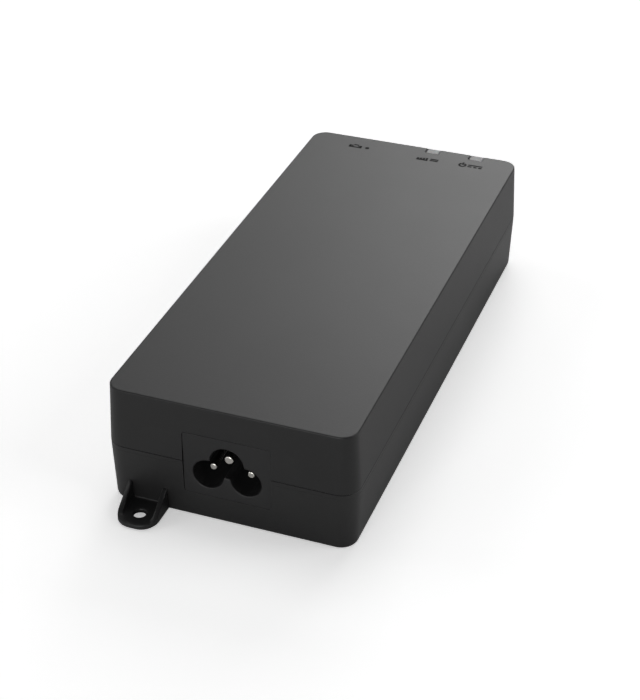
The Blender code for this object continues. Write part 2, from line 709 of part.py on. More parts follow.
def main_board(material, screw_metal):
    """The circuit board, notched round the far bosses, with its two screws."""
    near, far = (-BOARD_SIDE, BOARD_NEAR, BOARD_BOTTOM), (BOARD_SIDE, BOARD_FAR, BOARD_TOP)
    board = block("main_board", near, far, material)
    notch_x = SCREW_X - BOSS_RADIUS - BOARD_BOSS_GAP
    notch_y = SCREW_Y - BOSS_RADIUS - BOARD_BOSS_GAP
    for which, sign in (("left", -1), ("right", 1)):
        xs = sorted((sign * notch_x, sign * (BOARD_SIDE + PAST)))
        low = (xs[0], notch_y, BOARD_BOTTOM - PAST)
        cut(board, block(f"board_notch_{which}", low, (xs[1], BOARD_FAR + PAST, BOARD_TOP + PAST)))
    profile = screw_profile(
        BOARD_SCREW_RADIUS, BOARD_SCREW_LENGTH, BOARD_SCREW_HEAD_RADIUS, BOARD_SCREW_HEAD_HEIGHT
    )
    for name, x, y in post_places()[:2]:
        bore_at = (x, y, (BOARD_BOTTOM + BOARD_TOP) / 2)
        bore_radius = BOARD_SCREW_RADIUS + SCREW_GAP
        cut(board, rod(f"board_bore_{name}", bore_at, bore_radius, BOARD_THICKNESS + 2 * PAST, "Z", sides=16))
        screw = turned(f"board_screw_{name.split('_')[1]}", profile, screw_metal, sides=16)
        screw.location = (x, y, ON_BOARD)


def standing(name, x, y, size, material, lift=ON_BOARD):
    """A moulded part standing on the board at (x, y)."""
    low = (x - size[0] / 2, y - size[1] / 2, lift)
    return block(name, low, (x + size[0] / 2, y + size[1] / 2, lift + size[2]), material, CASE_PART_ROUND)


def capacitor(name, x, y, radius, height, material):
    """An upright can with a crimp above its seal."""
    edge = CRIMP_DEPTH
    crimp = CRIMP_HEIGHT
    profile = [
        (0.0, height),
        (radius - edge, height),
        (radius, height - edge),
        (radius, crimp + 2 * edge),
        (radius - edge, crimp + edge),
        (radius, crimp),
        (radius, 0.0),
        (0.0, 0.0),
    ]
    can = turned(name, profile, material, sides=28)
    can.location = (x, y, ON_BOARD)


def transistor(name, x, y, material):
    """A power transistor with its three legs, against a heat sink."""
    size = TRANSISTOR_SIZE
    low = ON_BOARD + TRANSISTOR_LIFT
    body_low = (x - size[0] / 2, y - size[1] / 2, low)
    body = block(name, body_low, (x + size[0] / 2, y + size[1] / 2, low + size[2]), material)
    half = TRANSISTOR_LEG / 2
    for leg in (-1, 0, 1):
        leg_y = y + leg * TRANSISTOR_LEG_PITCH
        corner = (x - half, leg_y - half, ON_BOARD)
        join(body, block(f"{name}_leg_{leg + 2}", corner, (x + half, leg_y + half, low + OVERLAP)))


def sink_pair(sink, device, x, y, towards, metal, plastic):
    """A heat sink plate with a device on the face towards the board's middle."""
    width = SINK_THICKNESS + SEAT + TRANSISTOR_SIZE[0]
    plate_x = x - towards * (width - SINK_THICKNESS) / 2
    half = SINK_THICKNESS / 2
    low = (plate_x - half, y - SINK_LENGTH / 2, ON_BOARD)
    block(sink, low, (plate_x + half, y + SINK_LENGTH / 2, ON_BOARD + SINK_HEIGHT), metal, CASE_PART_ROUND)
    transistor(device, x + towards * (width - TRANSISTOR_SIZE[0]) / 2, y, plastic)


def transformer(x, y, ferrite, tape):
    """The supply's transformer: a three-legged core with the winding round its middle leg."""
    low = ON_BOARD
    half_x, half_y = CORE_WIDTH / 2, CORE_LENGTH / 2
    core_high = (x + half_x, y + half_y, low + CORE_HEIGHT)
    core = block("transformer_core", (x - half_x, y - half_y, low), core_high, ferrite)
    window_low, window_high = low + CORE_BAR, low + CORE_HEIGHT - CORE_BAR
    leg = CORE_LEG / 2
    for which, sign in (("left", -1), ("right", 1)):
        xs = sorted((x + sign * leg, x + sign * (half_x - CORE_BAR)))
        corner = (xs[0], y - half_y - PAST, window_low)
        cut(core, block(f"core_window_{which}", corner, (xs[1], y + half_y + PAST, window_high)))
    coil_x = half_x - CORE_BAR - SEAT
    coil_y = WINDING_LENGTH / 2
    coil_low = (x - coil_x, y - coil_y, window_low + SEAT)
    coil_high = (x + coil_x, y + coil_y, window_high - SEAT)
    winding = rounded_block("transformer_winding", coil_low, coil_high, CORE_BAR, 2, tape)
    slot_low = (x - leg - SEAT, y - half_y - SEAT, low)
    slot_high = (x + leg + SEAT, y + half_y + SEAT, low + CORE_HEIGHT)
    cut(winding, block("winding_slot", slot_low, slot_high))
    smooth(winding)


def mains_choke(x, y, material):
    """A wound ring standing on edge."""
    outer = CHOKE_RING_RADIUS + CHOKE_WIRE_RADIUS
    bpy.ops.mesh.primitive_torus_add(
        major_radius=CHOKE_RING_RADIUS,
        minor_radius=CHOKE_WIRE_RADIUS,
        major_segments=24,
        minor_segments=10,
        location=(x, y, ON_BOARD + outer),
        rotation=(math.pi / 2, 0.0, 0.0),
    )
    ring = bpy.context.object
    ring.name = "mains_choke"
    ring.data.name = "mains_choke"
    ring.data.materials.append(material)
    ring.data.shade_smooth()
    for collection in list(ring.users_collection):
        collection.objects.unlink(ring)
    parts.objects.link(ring)


def output_choke(x, y, material):
    """A wound drum."""
    flange = OUTPUT_CHOKE_FLANGE
    profile = [
        (0.0, OUTPUT_CHOKE_HEIGHT),
        (OUTPUT_CHOKE_RADIUS, OUTPUT_CHOKE_HEIGHT),
        (OUTPUT_CHOKE_RADIUS, OUTPUT_CHOKE_HEIGHT - flange),
        (OUTPUT_CHOKE_WAIST, OUTPUT_CHOKE_HEIGHT - flange),
        (OUTPUT_CHOKE_WAIST, flange),
        (OUTPUT_CHOKE_RADIUS, flange),
        (OUTPUT_CHOKE_RADIUS, 0.0),
        (0.0, 0.0),
    ]
    drum = turned("output_choke", profile, material)
    drum.location = (x, y, ON_BOARD)


def disc(name, x, y, radius, thickness, axis, material):
    """A disc part standing on edge."""
    rod(name, (x, y, ON_BOARD + radius), radius, thickness, axis, material, sides=24)


def board_parts(look):
    """Everything that stands on the board between the inlet and the jacks, in rows."""
    low_x, high_x = ROW_MARGIN - BOARD_SIDE, BOARD_SIDE - ROW_MARGIN
    input_depth = max(2 * FUSE_RADIUS, VARISTOR_THICKNESS, BRIDGE_SIZE[1], SUPPLY_CHIP_SIZE[1])
    choke_width = 2 * (CHOKE_RING_RADIUS + CHOKE_WIRE_RADIUS)
    bulk_depth = max(2 * BULK_RADIUS, X_CAPACITOR_SIZE[1], 2 * CHOKE_WIRE_RADIUS)
    power_depth = max(WINDING_LENGTH, CORE_LENGTH, SINK_LENGTH)
    output_depth = 2 * max(OUTPUT_RADIUS, OUTPUT_CHOKE_RADIUS)
    depths = (input_depth, bulk_depth, power_depth, output_depth, DATA_TRANSFORMER_SIZE[1])
    input_y, bulk_y, power_y, output_y, data_y = spread(depths, BOARD_NEAR + LANDING_STRIP, PIPE_REAR)

    widths = (SUPPLY_CHIP_SIZE[0], BRIDGE_SIZE[0], 2 * FUSE_RADIUS, 2 * VARISTOR_RADIUS)
    chip_x, bridge_x, fuse_x, varistor_x = spread(widths, low_x, high_x)
    standing("supply_controller", chip_x, input_y, SUPPLY_CHIP_SIZE, look["chip"])
    standing("bridge_rectifier", bridge_x, input_y, BRIDGE_SIZE, look["chip"])
    fuse_profile = [(0.0, FUSE_HEIGHT), (FUSE_RADIUS, FUSE_HEIGHT), (FUSE_RADIUS, 0.0), (0.0, 0.0)]
    turned("fuse", fuse_profile, look["fuse"]).location = (fuse_x, input_y, ON_BOARD)
    disc("varistor", varistor_x, input_y, VARISTOR_RADIUS, VARISTOR_THICKNESS, "Y", look["varistor"])

    widths = (2 * BULK_RADIUS, X_CAPACITOR_SIZE[0], choke_width)
    bulk_x, film_x, choke_x = spread(widths, low_x, high_x)
    capacitor("bulk_capacitor", bulk_x, bulk_y, BULK_RADIUS, BULK_HEIGHT, look["can"])
    standing("x_capacitor", film_x, bulk_y, X_CAPACITOR_SIZE, look["film"])
    mains_choke(choke_x, bulk_y, look["copper"])

    pair = SINK_THICKNESS + SEAT + TRANSISTOR_SIZE[0]
    coupler_width = max(COUPLER_SIZE[0], Y_CAPACITOR_THICKNESS)
    widths = (pair, CORE_WIDTH, coupler_width, pair)
    switch_x, core_x, coupler_x, output_x = spread(widths, low_x, high_x)
    sink_pair("switch_heat_sink", "switch_transistor", switch_x, power_y, 1, look["sink"], look["chip"])
    transformer(core_x, power_y, look["ferrite"], look["tape"])
    standing("optocoupler", coupler_x, power_y - COUPLER_OFFSET, COUPLER_SIZE, look["chip"])
    y_capacitor = ("y_capacitor", coupler_x, power_y + COUPLER_OFFSET, Y_CAPACITOR_RADIUS)
    disc(*y_capacitor, Y_CAPACITOR_THICKNESS, "X", look["disc"])
    sink_pair("output_heat_sink", "output_rectifier", output_x, power_y, -1, look["sink"], look["chip"])

    widths = (2 * OUTPUT_RADIUS, 2 * OUTPUT_CHOKE_RADIUS, 2 * OUTPUT_RADIUS)
    first_x, drum_x, second_x = spread(widths, low_x, high_x)
    capacitor("output_capacitor_1", first_x, output_y, OUTPUT_RADIUS, OUTPUT_HEIGHT, look["can"])
    output_choke(drum_x, output_y, look["ferrite"])
    capacitor("output_capacitor_2", second_x, output_y, OUTPUT_RADIUS, OUTPUT_HEIGHT, look["can"])

    standing("data_in_transformer", DATA_IN_X, data_y, DATA_TRANSFORMER_SIZE, look["chip"])
    standing("power_out_transformer", POWER_OUT_X, data_y, DATA_TRANSFORMER_SIZE, look["chip"])
    standing("port_controller", (DATA_IN_X + POWER_OUT_X) / 2, data_y, PORT_CHIP_SIZE, look["chip"])


def socket_boxes(x, grow):
    """The plug's space in a jack as (name, low, high) boxes, each grown sideways by the same margin."""
    floor = SOCKET_BOTTOM
    roof = floor + SOCKET_HEIGHT
    front = JACK_FRONT + PAST
    return (
        ("plug", (x - SOCKET_WIDTH / 2 - grow, JACK_FRONT - SOCKET_DEPTH, floor - grow),
         (x + SOCKET_WIDTH / 2 + grow, front, roof + grow)),
        ("latch", (x - LATCH_WIDTH / 2 - grow, JACK_FRONT - LATCH_DEPTH, roof - OVERLAP),
         (x + LATCH_WIDTH / 2 + grow, front, roof + LATCH_HEIGHT + grow)),
        ("key", (x - KEY_WIDTH / 2 - grow, JACK_FRONT - LATCH_DEPTH, roof - OVERLAP),
         (x + KEY_WIDTH / 2 + grow, front, roof + LATCH_HEIGHT + KEY_HEIGHT + grow)),
    )


def jack(prefix, x, look):
    """One network jack: sheet shield, housing and the sprung contacts."""
    low = Vector((x - JACK_WIDTH / 2, JACK_REAR, ON_BOARD))
    high = Vector((x + JACK_WIDTH / 2, JACK_FRONT, ON_BOARD + JACK_HEIGHT))
    sheet = Vector((SHIELD_SHEET, SHIELD_SHEET, SHIELD_SHEET))
    shield = block(f"{prefix}_jack_shield", low, high, look["shield"])
    inner_low = low + sheet
    inner_low.z = low.z - PAST
    cut(shield, block(f"{prefix}_shield_inside", inner_low, high - sheet))
    for name, box_low, box_high in socket_boxes(x, SHIELD_WINDOW_GAP):
        box_low = (box_low[0], JACK_FRONT - SHIELD_SHEET - OVERLAP, box_low[2])
        cut(shield, block(f"{prefix}_shield_{name}", box_low, box_high))
    gap = sheet + Vector((SHIELD_GAP, SHIELD_GAP, SHIELD_GAP))
    housing_low = low + gap
    housing_low.z = low.z
    housing = block(f"{prefix}_jack_housing", housing_low, high - gap, look["jack"])
    for name, box_low, box_high in socket_boxes(x, 0.0):
        cut(housing, block(f"{prefix}_socket_{name}", box_low, box_high))
    contacts(f"{prefix}_jack_contacts", x, look["contacts"])


def contacts(name, x, material):
    """Sprung contacts joined by a bar on the axis that they bend about. They slope up and back."""
    half_row = (CONTACT_COUNT - 1) * CONTACT_PITCH / 2
    half_bar = CONTACT_BAR / 2
    half = CONTACT_WIDTH / 2
    bar_end = half_row + half_bar
    outline = [(bar_end, half_bar), (-bar_end, half_bar), (-bar_end, -half_bar)]
    for number in range(CONTACT_COUNT):
        middle = number * CONTACT_PITCH - half_row
        outline.append((middle - half, -half_bar))
        outline.append((middle - half, -CONTACT_LENGTH))
        outline.append((middle + half, -CONTACT_LENGTH))
        outline.append((middle + half, -half_bar))
    outline.append((bar_end, -half_bar))
    comb = prism(name, outline, "Z", -CONTACT_WIDTH / 2, CONTACT_WIDTH / 2, material)
    comb.location = (x, JACK_FRONT - CONTACT_SET_BACK, SOCKET_BOTTOM + CONTACT_LIFT)
    comb.rotation_euler = (math.radians(-CONTACT_ANGLE), 0.0, 0.0)


def indicator(name, x, look):
    """A light pipe from the window back over the jack and down to its LED."""
    top = CASE_HEIGHT
    far = end(top)
    head_low = top - WINDOW_DROP
    inner = end(head_low) - WALL - COVER_LEAN - SEAT
    arm_high = top - ROOF - SEAT
    arm_low = arm_high - PIPE_THICKNESS
    led_top = ON_BOARD + LED_HEIGHT
    outline = [
        (far - WINDOW_DEPTH, arm_high),
        (far - WINDOW_DEPTH, top),
        (far - TOP_EDGE_ROUND, top),
        (end(top - TOP_EDGE_ROUND), top - TOP_EDGE_ROUND),
        (end(head_low), head_low),
        (inner, head_low),
        (inner, arm_low),
        (PIPE_FRONT, arm_low),
        (PIPE_FRONT, led_top + SEAT),
        (PIPE_REAR, led_top + SEAT),
        (PIPE_REAR, arm_high),
    ]
    prism(f"light_pipe_{name}", outline, "X", x - WINDOW_WIDTH / 2, x + WINDOW_WIDTH / 2, look["pipe"])
    low = (x - LED_WIDTH / 2, PIPE_REAR, ON_BOARD)
    block(f"status_led_{name}", low, (x + LED_WIDTH / 2, PIPE_FRONT, led_top), look["led"])


def looks():
    """The parts' materials."""
    return {
        "case": finish("dark_plastic", (0.045, 0.045, 0.047), 0.6),
        "base": finish("dark_plastic_base", (0.04, 0.04, 0.042), 0.6),
        "screw": finish("zinc_steel", (0.6, 0.6, 0.62), 0.35, 1.0),
        "inlet": finish("inlet_plastic", (0.03, 0.03, 0.032), 0.55),
        "pin": finish("nickel_brass", (0.78, 0.76, 0.7), 0.25, 1.0),
        "line": finish("brown_sleeve", (0.18, 0.07, 0.03), 0.5),
        "neutral": finish("blue_sleeve", (0.03, 0.1, 0.4), 0.5),
        "earth": finish("green_yellow_sleeve", (0.25, 0.5, 0.05), 0.5),
        "board": finish("board_laminate", (0.02, 0.2, 0.06), 0.5),
        "chip": finish("chip_plastic", (0.03, 0.03, 0.03), 0.5),
        "fuse": finish("fuse_plastic", (0.06, 0.05, 0.04), 0.45),
        "varistor": finish("varistor_coating", (0.05, 0.12, 0.45), 0.4),
        "film": finish("film_capacitor_case", (0.75, 0.6, 0.12), 0.45),
        "copper": finish("enamelled_copper", (0.65, 0.25, 0.1), 0.35, 1.0),
        "can": finish("capacitor_sleeve", (0.03, 0.03, 0.05), 0.4),
        "ferrite": finish("ferrite", (0.07, 0.07, 0.075), 0.6),
        "tape": finish("winding_tape", (0.8, 0.65, 0.1), 0.4),
        "sink": finish("sink_aluminium", (0.75, 0.76, 0.78), 0.4, 1.0),
        "disc": finish("disc_coating", (0.1, 0.2, 0.6), 0.4),
        "shield": finish("tinned_sheet", (0.75, 0.75, 0.74), 0.3, 1.0),
        "jack": finish("jack_plastic", (0.02, 0.02, 0.02), 0.45),
        "contacts": finish("gold_contact", (0.9, 0.66, 0.25), 0.25, 1.0),
        "pipe": finish("frosted_light_pipe", (0.8, 0.82, 0.84), 0.3),
        "led": finish("led_lens", (0.9, 0.9, 0.75), 0.3),
    }


def build():
    """Makes the whole injector."""
    start_scene()
    look = looks()
    ports = [port_opening("data_in_opening", DATA_IN_X), port_opening("power_out_opening", POWER_OUT_X)]
    openings = [inlet_opening(), *ports]
    base_case(look["base"], openings)
    top_cover(look["case"], openings)
    case_screws(look["screw"])
    inlet(look["inlet"], look["pin"], look)
    main_board(look["board"], look["screw"])
    board_parts(look)
    jack("data_in", DATA_IN_X, look)
    jack("power_out", POWER_OUT_X, look)
    for name, x in window_places():
        indicator(name, x, look)


build()
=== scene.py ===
"""The looks of a single-port PoE injector: a mains supply in a moulded two-part case.

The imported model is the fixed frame. Its origin is on the underside, at the middle of the case.
The three-pin inlet is at the -Y end, the two network jacks are at the +Y end, and +Z is up.
Lengths are in metres and are written as millimetres times MM.
"""

import json
import math

import bmesh
import bpy
import numpy as np
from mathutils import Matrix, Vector
from mathutils.geometry import tessellate_polygon


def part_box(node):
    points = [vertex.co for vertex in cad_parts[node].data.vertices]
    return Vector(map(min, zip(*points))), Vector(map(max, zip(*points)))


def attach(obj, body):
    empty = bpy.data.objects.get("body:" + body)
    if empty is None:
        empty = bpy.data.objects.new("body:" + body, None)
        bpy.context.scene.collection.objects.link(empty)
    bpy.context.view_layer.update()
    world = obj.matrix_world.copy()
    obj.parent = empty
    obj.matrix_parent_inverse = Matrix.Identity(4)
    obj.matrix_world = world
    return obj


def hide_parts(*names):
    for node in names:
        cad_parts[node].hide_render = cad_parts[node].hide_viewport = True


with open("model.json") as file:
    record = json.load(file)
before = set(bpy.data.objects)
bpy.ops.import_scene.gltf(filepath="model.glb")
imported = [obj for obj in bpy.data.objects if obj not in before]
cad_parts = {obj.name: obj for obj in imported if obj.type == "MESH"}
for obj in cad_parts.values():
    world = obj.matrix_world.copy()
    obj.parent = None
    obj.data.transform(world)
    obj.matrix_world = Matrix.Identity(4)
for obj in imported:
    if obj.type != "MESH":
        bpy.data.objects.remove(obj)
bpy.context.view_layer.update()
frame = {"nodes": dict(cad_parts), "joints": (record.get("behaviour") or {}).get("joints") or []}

MM = 0.001
PORTS = ("data_in", "power_out")
HALF_X, HALF_Y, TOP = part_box("top_cover")[1]

# Case: two shells whose walls lean in from the seam
SEAM = 16.7 * MM
SEAM_GAP = 0.1 * MM
SEAM_CHAMFER = 0.07 * MM
CORNER_RADIUS = 5.0 * MM
COVER_LEAN = 0.75 * MM
BASE_LEAN = 0.65 * MM
WALL = 2.2 * MM
TOP_ROUND = 0.3 * MM
BOTTOM_ROUND = 0.9 * MM
BAND_HEIGHT = 1.2 * MM  # a shallow set-back band under the seam
BAND_DEPTH = 0.02 * MM
LIP_OUTER = 1.3 * MM
LIP_HEIGHT = 1.6 * MM
GROOVE_OUTER = 1.05 * MM
GROOVE_ROOM = 0.25 * MM  # over the lip
CORNER_STEPS = 8
ROUND_STEPS = 4
LINE_STEP = 6.0 * MM
SUPPORT = 0.2 * MM  # from a rounded edge to the line that keeps the flat beside it flat
RIM_ROUND = 0.05 * MM

# Openings in the walls
FLANGE_X = 1.1 * MM  # how far the inlet's hidden flange stands out past its face
FLANGE_Z = 1.4 * MM
INLET_GAP = 0.06 * MM  # above and below the insert
INLET_SIDE_GAPS = (0.1 * MM, 0.02 * MM)  # the insert sits towards one side of its opening
FACE_SHIFT = Vector((-0.3, -0.4, -0.12)) * MM  # the inlet's face, from the middle of its housing
RECESS_SHIFT = Vector((-0.38, 0.0, -0.4)) * MM  # its recess and pins, from the pins' places
INLET_OPENING_ROUND = 0.9 * MM
PORT_GAP = 0.3 * MM
PORT_OPENING_ROUND = 0.5 * MM
WINDOW_GAP = 0.12 * MM
WINDOW_DEPTH = 2.9 * MM
WINDOW_DROP = 3.4 * MM
HOLE_STEPS = 6

# Screw wells in the underside
WELL_GAP = 0.25 * MM
WELL_BLOCK = 3.6 * MM  # half the side of the square of grid that holds a well
WELL_DEPTH = 1.85 * MM
WELL_ROUND = 0.25 * MM

# Fixing ears
EAR_HALF = 5.35 * MM
EAR_REACH = 10.4 * MM
EAR_ROOT = 1.9 * MM  # how far the ear runs on inside the wall
EAR_THICKNESS = 1.5 * MM
EAR_TIP_RADIUS = 4.5 * MM
EAR_OFF_SIDE = 10.9 * MM  # from the case's side to the ear's middle
EAR_HOLE_OUT = 5.5 * MM
EAR_HOLE_RADIUS = 1.55 * MM
EAR_HOLE_RIM = 0.45 * MM
EAR_FILLET = 0.6 * MM
RIB_HEIGHT = 6.7 * MM
RIB_WIDTH = 1.3 * MM
RIB_REACH = 8.2 * MM
RIB_ROUND = 0.35 * MM


# --- Mesh building ---

SHADED_APART = math.radians(35)  # faces at more than this angle get a sharp edge
ROUNDED_OFF = math.radians(55)  # and at more than this one a rounded edge
WELD = 0.0005 * MM


def linked(name, data):
    """A new object in the scene."""
    obj = bpy.data.objects.new(name, data)
    bpy.context.scene.collection.objects.link(obj)
    return obj


class Surface:
    """Gathers the patches of one piece and welds them into a closed mesh."""

    def __init__(self):
        self.points = []
        self.faces = []
        self.count = 0

    def add(self, points, faces):
        """Adds points, and faces that index them."""
        points = np.asarray(points, float).reshape(-1, 3)
        self.points.append(points)
        self.faces.extend(np.asarray(faces) + self.count)
        self.count += len(points)

    def sheet(self, grid, around=False, keep=None):
        """Quads between neighbours of a (rows, columns, 3) grid, closed round the columns on request."""
        grid = np.asarray(grid, float)
        rows, columns = grid.shape[:2]
        index = np.arange(rows * columns).reshape(rows, columns)
        index = np.concatenate([index, index[:, :1]], axis=1) if around else index
        quads = np.stack([index[:-1, :-1], index[:-1, 1:], index[1:, 1:], index[1:, :-1]], axis=-1)
        self.add(grid, quads.reshape(-1, 4) if keep is None else quads[keep])

    def tube(self, *rings):
        """Quads between closed rings of as many points."""
        self.sheet(rings, around=True)

    def polygons(self, *loops):
        """A flat face in each loop."""
        for loop in loops:
            self.add(loop, [range(len(loop))])

    def plate(self, *loops):
        """A flat face with holes: an outer loop, then one for each hole, split into triangles."""
        self.add(np.concatenate(loops), tessellate_polygon([[Vector(p) for p in loop] for loop in loops]))

    def prism(self, *rings):
        """A closed solid through loops of as many points."""
        self.tube(*rings)
        self.polygons(rings[0], rings[-1])

    def piece(self, name, slot, material, replaced=(), body="case", rounding=0.0):
        """The finished object: welded, faces outwards, with its hard edges rounded off on request."""
        mesh = bpy.data.meshes.new(name)
        mesh.from_pydata(np.concatenate(self.points), [], [list(map(int, f)) for f in self.faces])
        bm = bmesh.new()
        bm.from_mesh(mesh)
        bmesh.ops.remove_doubles(bm, verts=bm.verts, dist=WELD)
        bmesh.ops.dissolve_degenerate(bm, dist=WELD, edges=bm.edges)
        bmesh.ops.recalc_face_normals(bm, faces=bm.faces)
        bm.to_mesh(mesh)
        bm.free()
        mesh.shade_smooth()
        mark_edges(mesh)
        mesh.set_sharp_from_angle(angle=SHADED_APART)
        mesh.materials.append(material)
        obj = linked(name, mesh)
        if rounding:
            bevel = obj.modifiers.new("rounding", "BEVEL")
            bevel.width = rounding
            bevel.segments = 2
            bevel.limit_method = "ANGLE"
            bevel.angle_limit = ROUNDED_OFF
            bevel.use_clamp_overlap = False
            obj.modifiers.new("flat_faces", "WEIGHTED_NORMAL").keep_sharp = True
        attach(obj, body)
        if replaced:
            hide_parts(*replaced)


def mark_edges(mesh):
    """Writes the attribute "edge": how much the surface turns at a vertex, 0 on a flat and 1 on an edge.

    It is the greatest distance between the unit normals of a vertex and of those joined to it.
    """
    normal = np.zeros((len(mesh.vertices), 3), np.float32)
    mesh.vertex_normals.foreach_get("vector", normal.ravel())
    ends = np.zeros((len(mesh.edges), 2), np.int32)
    mesh.edges.foreach_get("vertices", ends.ravel())
    turn = np.linalg.norm(normal[ends[:, 0]] - normal[ends[:, 1]], axis=1)
    most = np.zeros(len(normal), np.float32)
    for end in ends.T:
        np.maximum.at(most, end, turn)
    mesh.attributes.new("edge", "FLOAT", "POINT").data.foreach_set("value", np.clip(most * 2, 0, 1))


def at(*axes):
    """Points from their coordinates, where a single number is shared by all of them."""
    return np.stack(np.broadcast_arrays(*axes), axis=-1)


def arc(start, end, steps):
    """Angles in radians from start to end degrees."""
    return np.radians(np.linspace(start, end, steps + 1))


def polar(angle, radius=1.0):
    """Points on a circle round the origin."""
    return at(radius * np.cos(angle), radius * np.sin(angle))


def quarter(radius, steps):
    """A quarter round from its start: what is left of its way in, and its rise.

    They are radius (1 - sin) and radius (1 - cos) of angles from 0 to 90 degrees.
    """
    angle = arc(0, 90, steps)
    return radius * (1 - np.sin(angle)), radius * (1 - np.cos(angle))


def middle_of(node):
    """The middle of a CAD node's box."""
    return sum(np.array(corner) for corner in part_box(node)) / 2


def bearings(loop, centre):
    """The directions of a loop's points from a centre, without a jump."""
    away = loop - np.array(centre)
    return np.unwrap(np.arctan2(away[:, 1], away[:, 0]))


def smoothstep(t):
    """An S curve: 3t^2 - 2t^3 with t held between 0 and 1."""
    t = np.clip(t, 0.0, 1.0)
    return t * t * (3 - 2 * t)


def resample(loop, count):
    """A closed loop again, as points at equal steps along its length."""
    ring = np.vstack([loop, loop[:1]])
    run = np.append(0.0, np.cumsum(np.linalg.norm(np.diff(ring, axis=0), axis=1)))
    places = np.linspace(0.0, run[-1], count, endpoint=False)
    return at(*(np.interp(places, run, axis) for axis in ring.T))


def soften(loop, times):
    """A closed loop, each point moved several times to (before + 2 x itself + after) / 4."""
    for _ in range(times):
        loop = 0.5 * loop + 0.25 * (np.roll(loop, 1, axis=0) + np.roll(loop, -1, axis=0))
    return loop


def grown(loop, distance):
    """A closed flat loop moved out along its normals; the loop runs anticlockwise."""
    along = np.roll(loop, -1, axis=0) - np.roll(loop, 1, axis=0)
    along /= np.linalg.norm(along, axis=1, keepdims=True)
    return loop + distance * at(along[:, 1], -along[:, 0])


def rounded_rectangle(half_x, half_y, radius):
    """A closed anticlockwise loop: quarter circles joined by straight sides."""
    middle, whole = np.array([half_x - radius, half_y - radius]), []
    for side, signs in enumerate(((1, 1), (-1, 1), (-1, -1), (1, -1), (1, 1))):
        corner = middle * signs + polar(arc(90 * side, 90 * side + 90, 6), radius)
        if whole:
            whole.append(whole[-1][-1] + np.linspace(0, 1, 9)[1:-1, None] * (corner[0] - whole[-1][-1]))
        whole.append(corner)
    return np.concatenate(whole[:-1])


# --- Case shells ---


def lean(z):
    """How far the wall at height z lies inside the seam's outline: a straight draft above and below it."""
    z = np.asarray(z, float)
    return np.where(z > SEAM, COVER_LEAN * (z - SEAM) / (TOP - SEAM), BASE_LEAN * (SEAM - z) / SEAM)


class Opening:
    """A hole with rounded corners through an end wall: a CAD node's box, with each side moved out.

    Its marks are the places where the case's grid needs a line.
    """

    def __init__(self, node, end, radius, left, right, below, above):
        low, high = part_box(node)
        self.end, self.radius = end, radius
        self.low_x, self.high_x = low.x - left, high.x + right
        self.low_z, self.high_z = low.z - below, high.z + above
        self.marks_x = [self.low_x, self.low_x + radius, self.high_x - radius, self.high_x]
        self.marks_below = [self.low_z, self.low_z + radius]
        self.marks_above = [self.high_z, self.high_z - radius]


INLET_OPENING = Opening(
    "inlet_housing",
    -1,
    INLET_OPENING_ROUND,
    INLET_SIDE_GAPS[0] - FLANGE_X - FACE_SHIFT.x,
    INLET_SIDE_GAPS[1] - FLANGE_X + FACE_SHIFT.x,
    INLET_GAP - FLANGE_Z - FACE_SHIFT.z,
    INLET_GAP - FLANGE_Z + FACE_SHIFT.z,
)
PORT_OPENINGS = [Opening(f"{port}_jack_shield", 1, PORT_OPENING_ROUND, *[PORT_GAP] * 4) for port in PORTS]
OPENINGS = (INLET_OPENING, *PORT_OPENINGS)
WINDOWS = [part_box(f"light_pipe_{which}") for which in ("left", "right")]
WINDOW_EDGES = [(low.x - WINDOW_GAP, high.x + WINDOW_GAP) for low, high in WINDOWS]
SCREW_PLACES = [middle_of(f"case_screw_{number}")[:2] for number in (1, 2, 3, 4)]
WELL_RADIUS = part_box("case_screw_1")[1].x - SCREW_PLACES[0][0] + WELL_GAP
WELL_X, WELL_Y = np.abs(SCREW_PLACES[0])
WELL_MARKS = [-WELL_BLOCK, -0.58 * WELL_BLOCK, -0.2 * WELL_BLOCK]
FOOT_X, FOOT_Y = HALF_X - CORNER_RADIUS, HALF_Y - CORNER_RADIUS


def grid_lines(half, marks):
    """Line places from -half to half through every mark, with even fill no wider than a line step."""
    ends = np.array(sorted({round(float(place), 8) for place in (-half, half, *marks)}))
    ends = ends[np.abs(ends) <= round(half, 8)]
    counts = np.ceil(np.diff(ends) / LINE_STEP - 1e-6).astype(int)
    runs = [np.linspace(*run, endpoint=False) for run in zip(ends, ends[1:], counts)]
    return np.append(np.concatenate(runs), ends[-1])


def both_sides(place, marks):
    """Marks about a place, and the same mirrored about the case's middle."""
    return [side * (place + mark) for side in (-1, 1) for mark in marks]


HOLE_MARKS = [x for marks in (*(opening.marks_x for opening in OPENINGS), *WINDOW_EDGES) for x in marks]
LINES_X = grid_lines(FOOT_X, HOLE_MARKS + both_sides(WELL_X, WELL_MARKS))
LINES_Y = grid_lines(FOOT_Y, both_sides(WELL_Y, [*WELL_MARKS, 0.3 * WELL_BLOCK]))


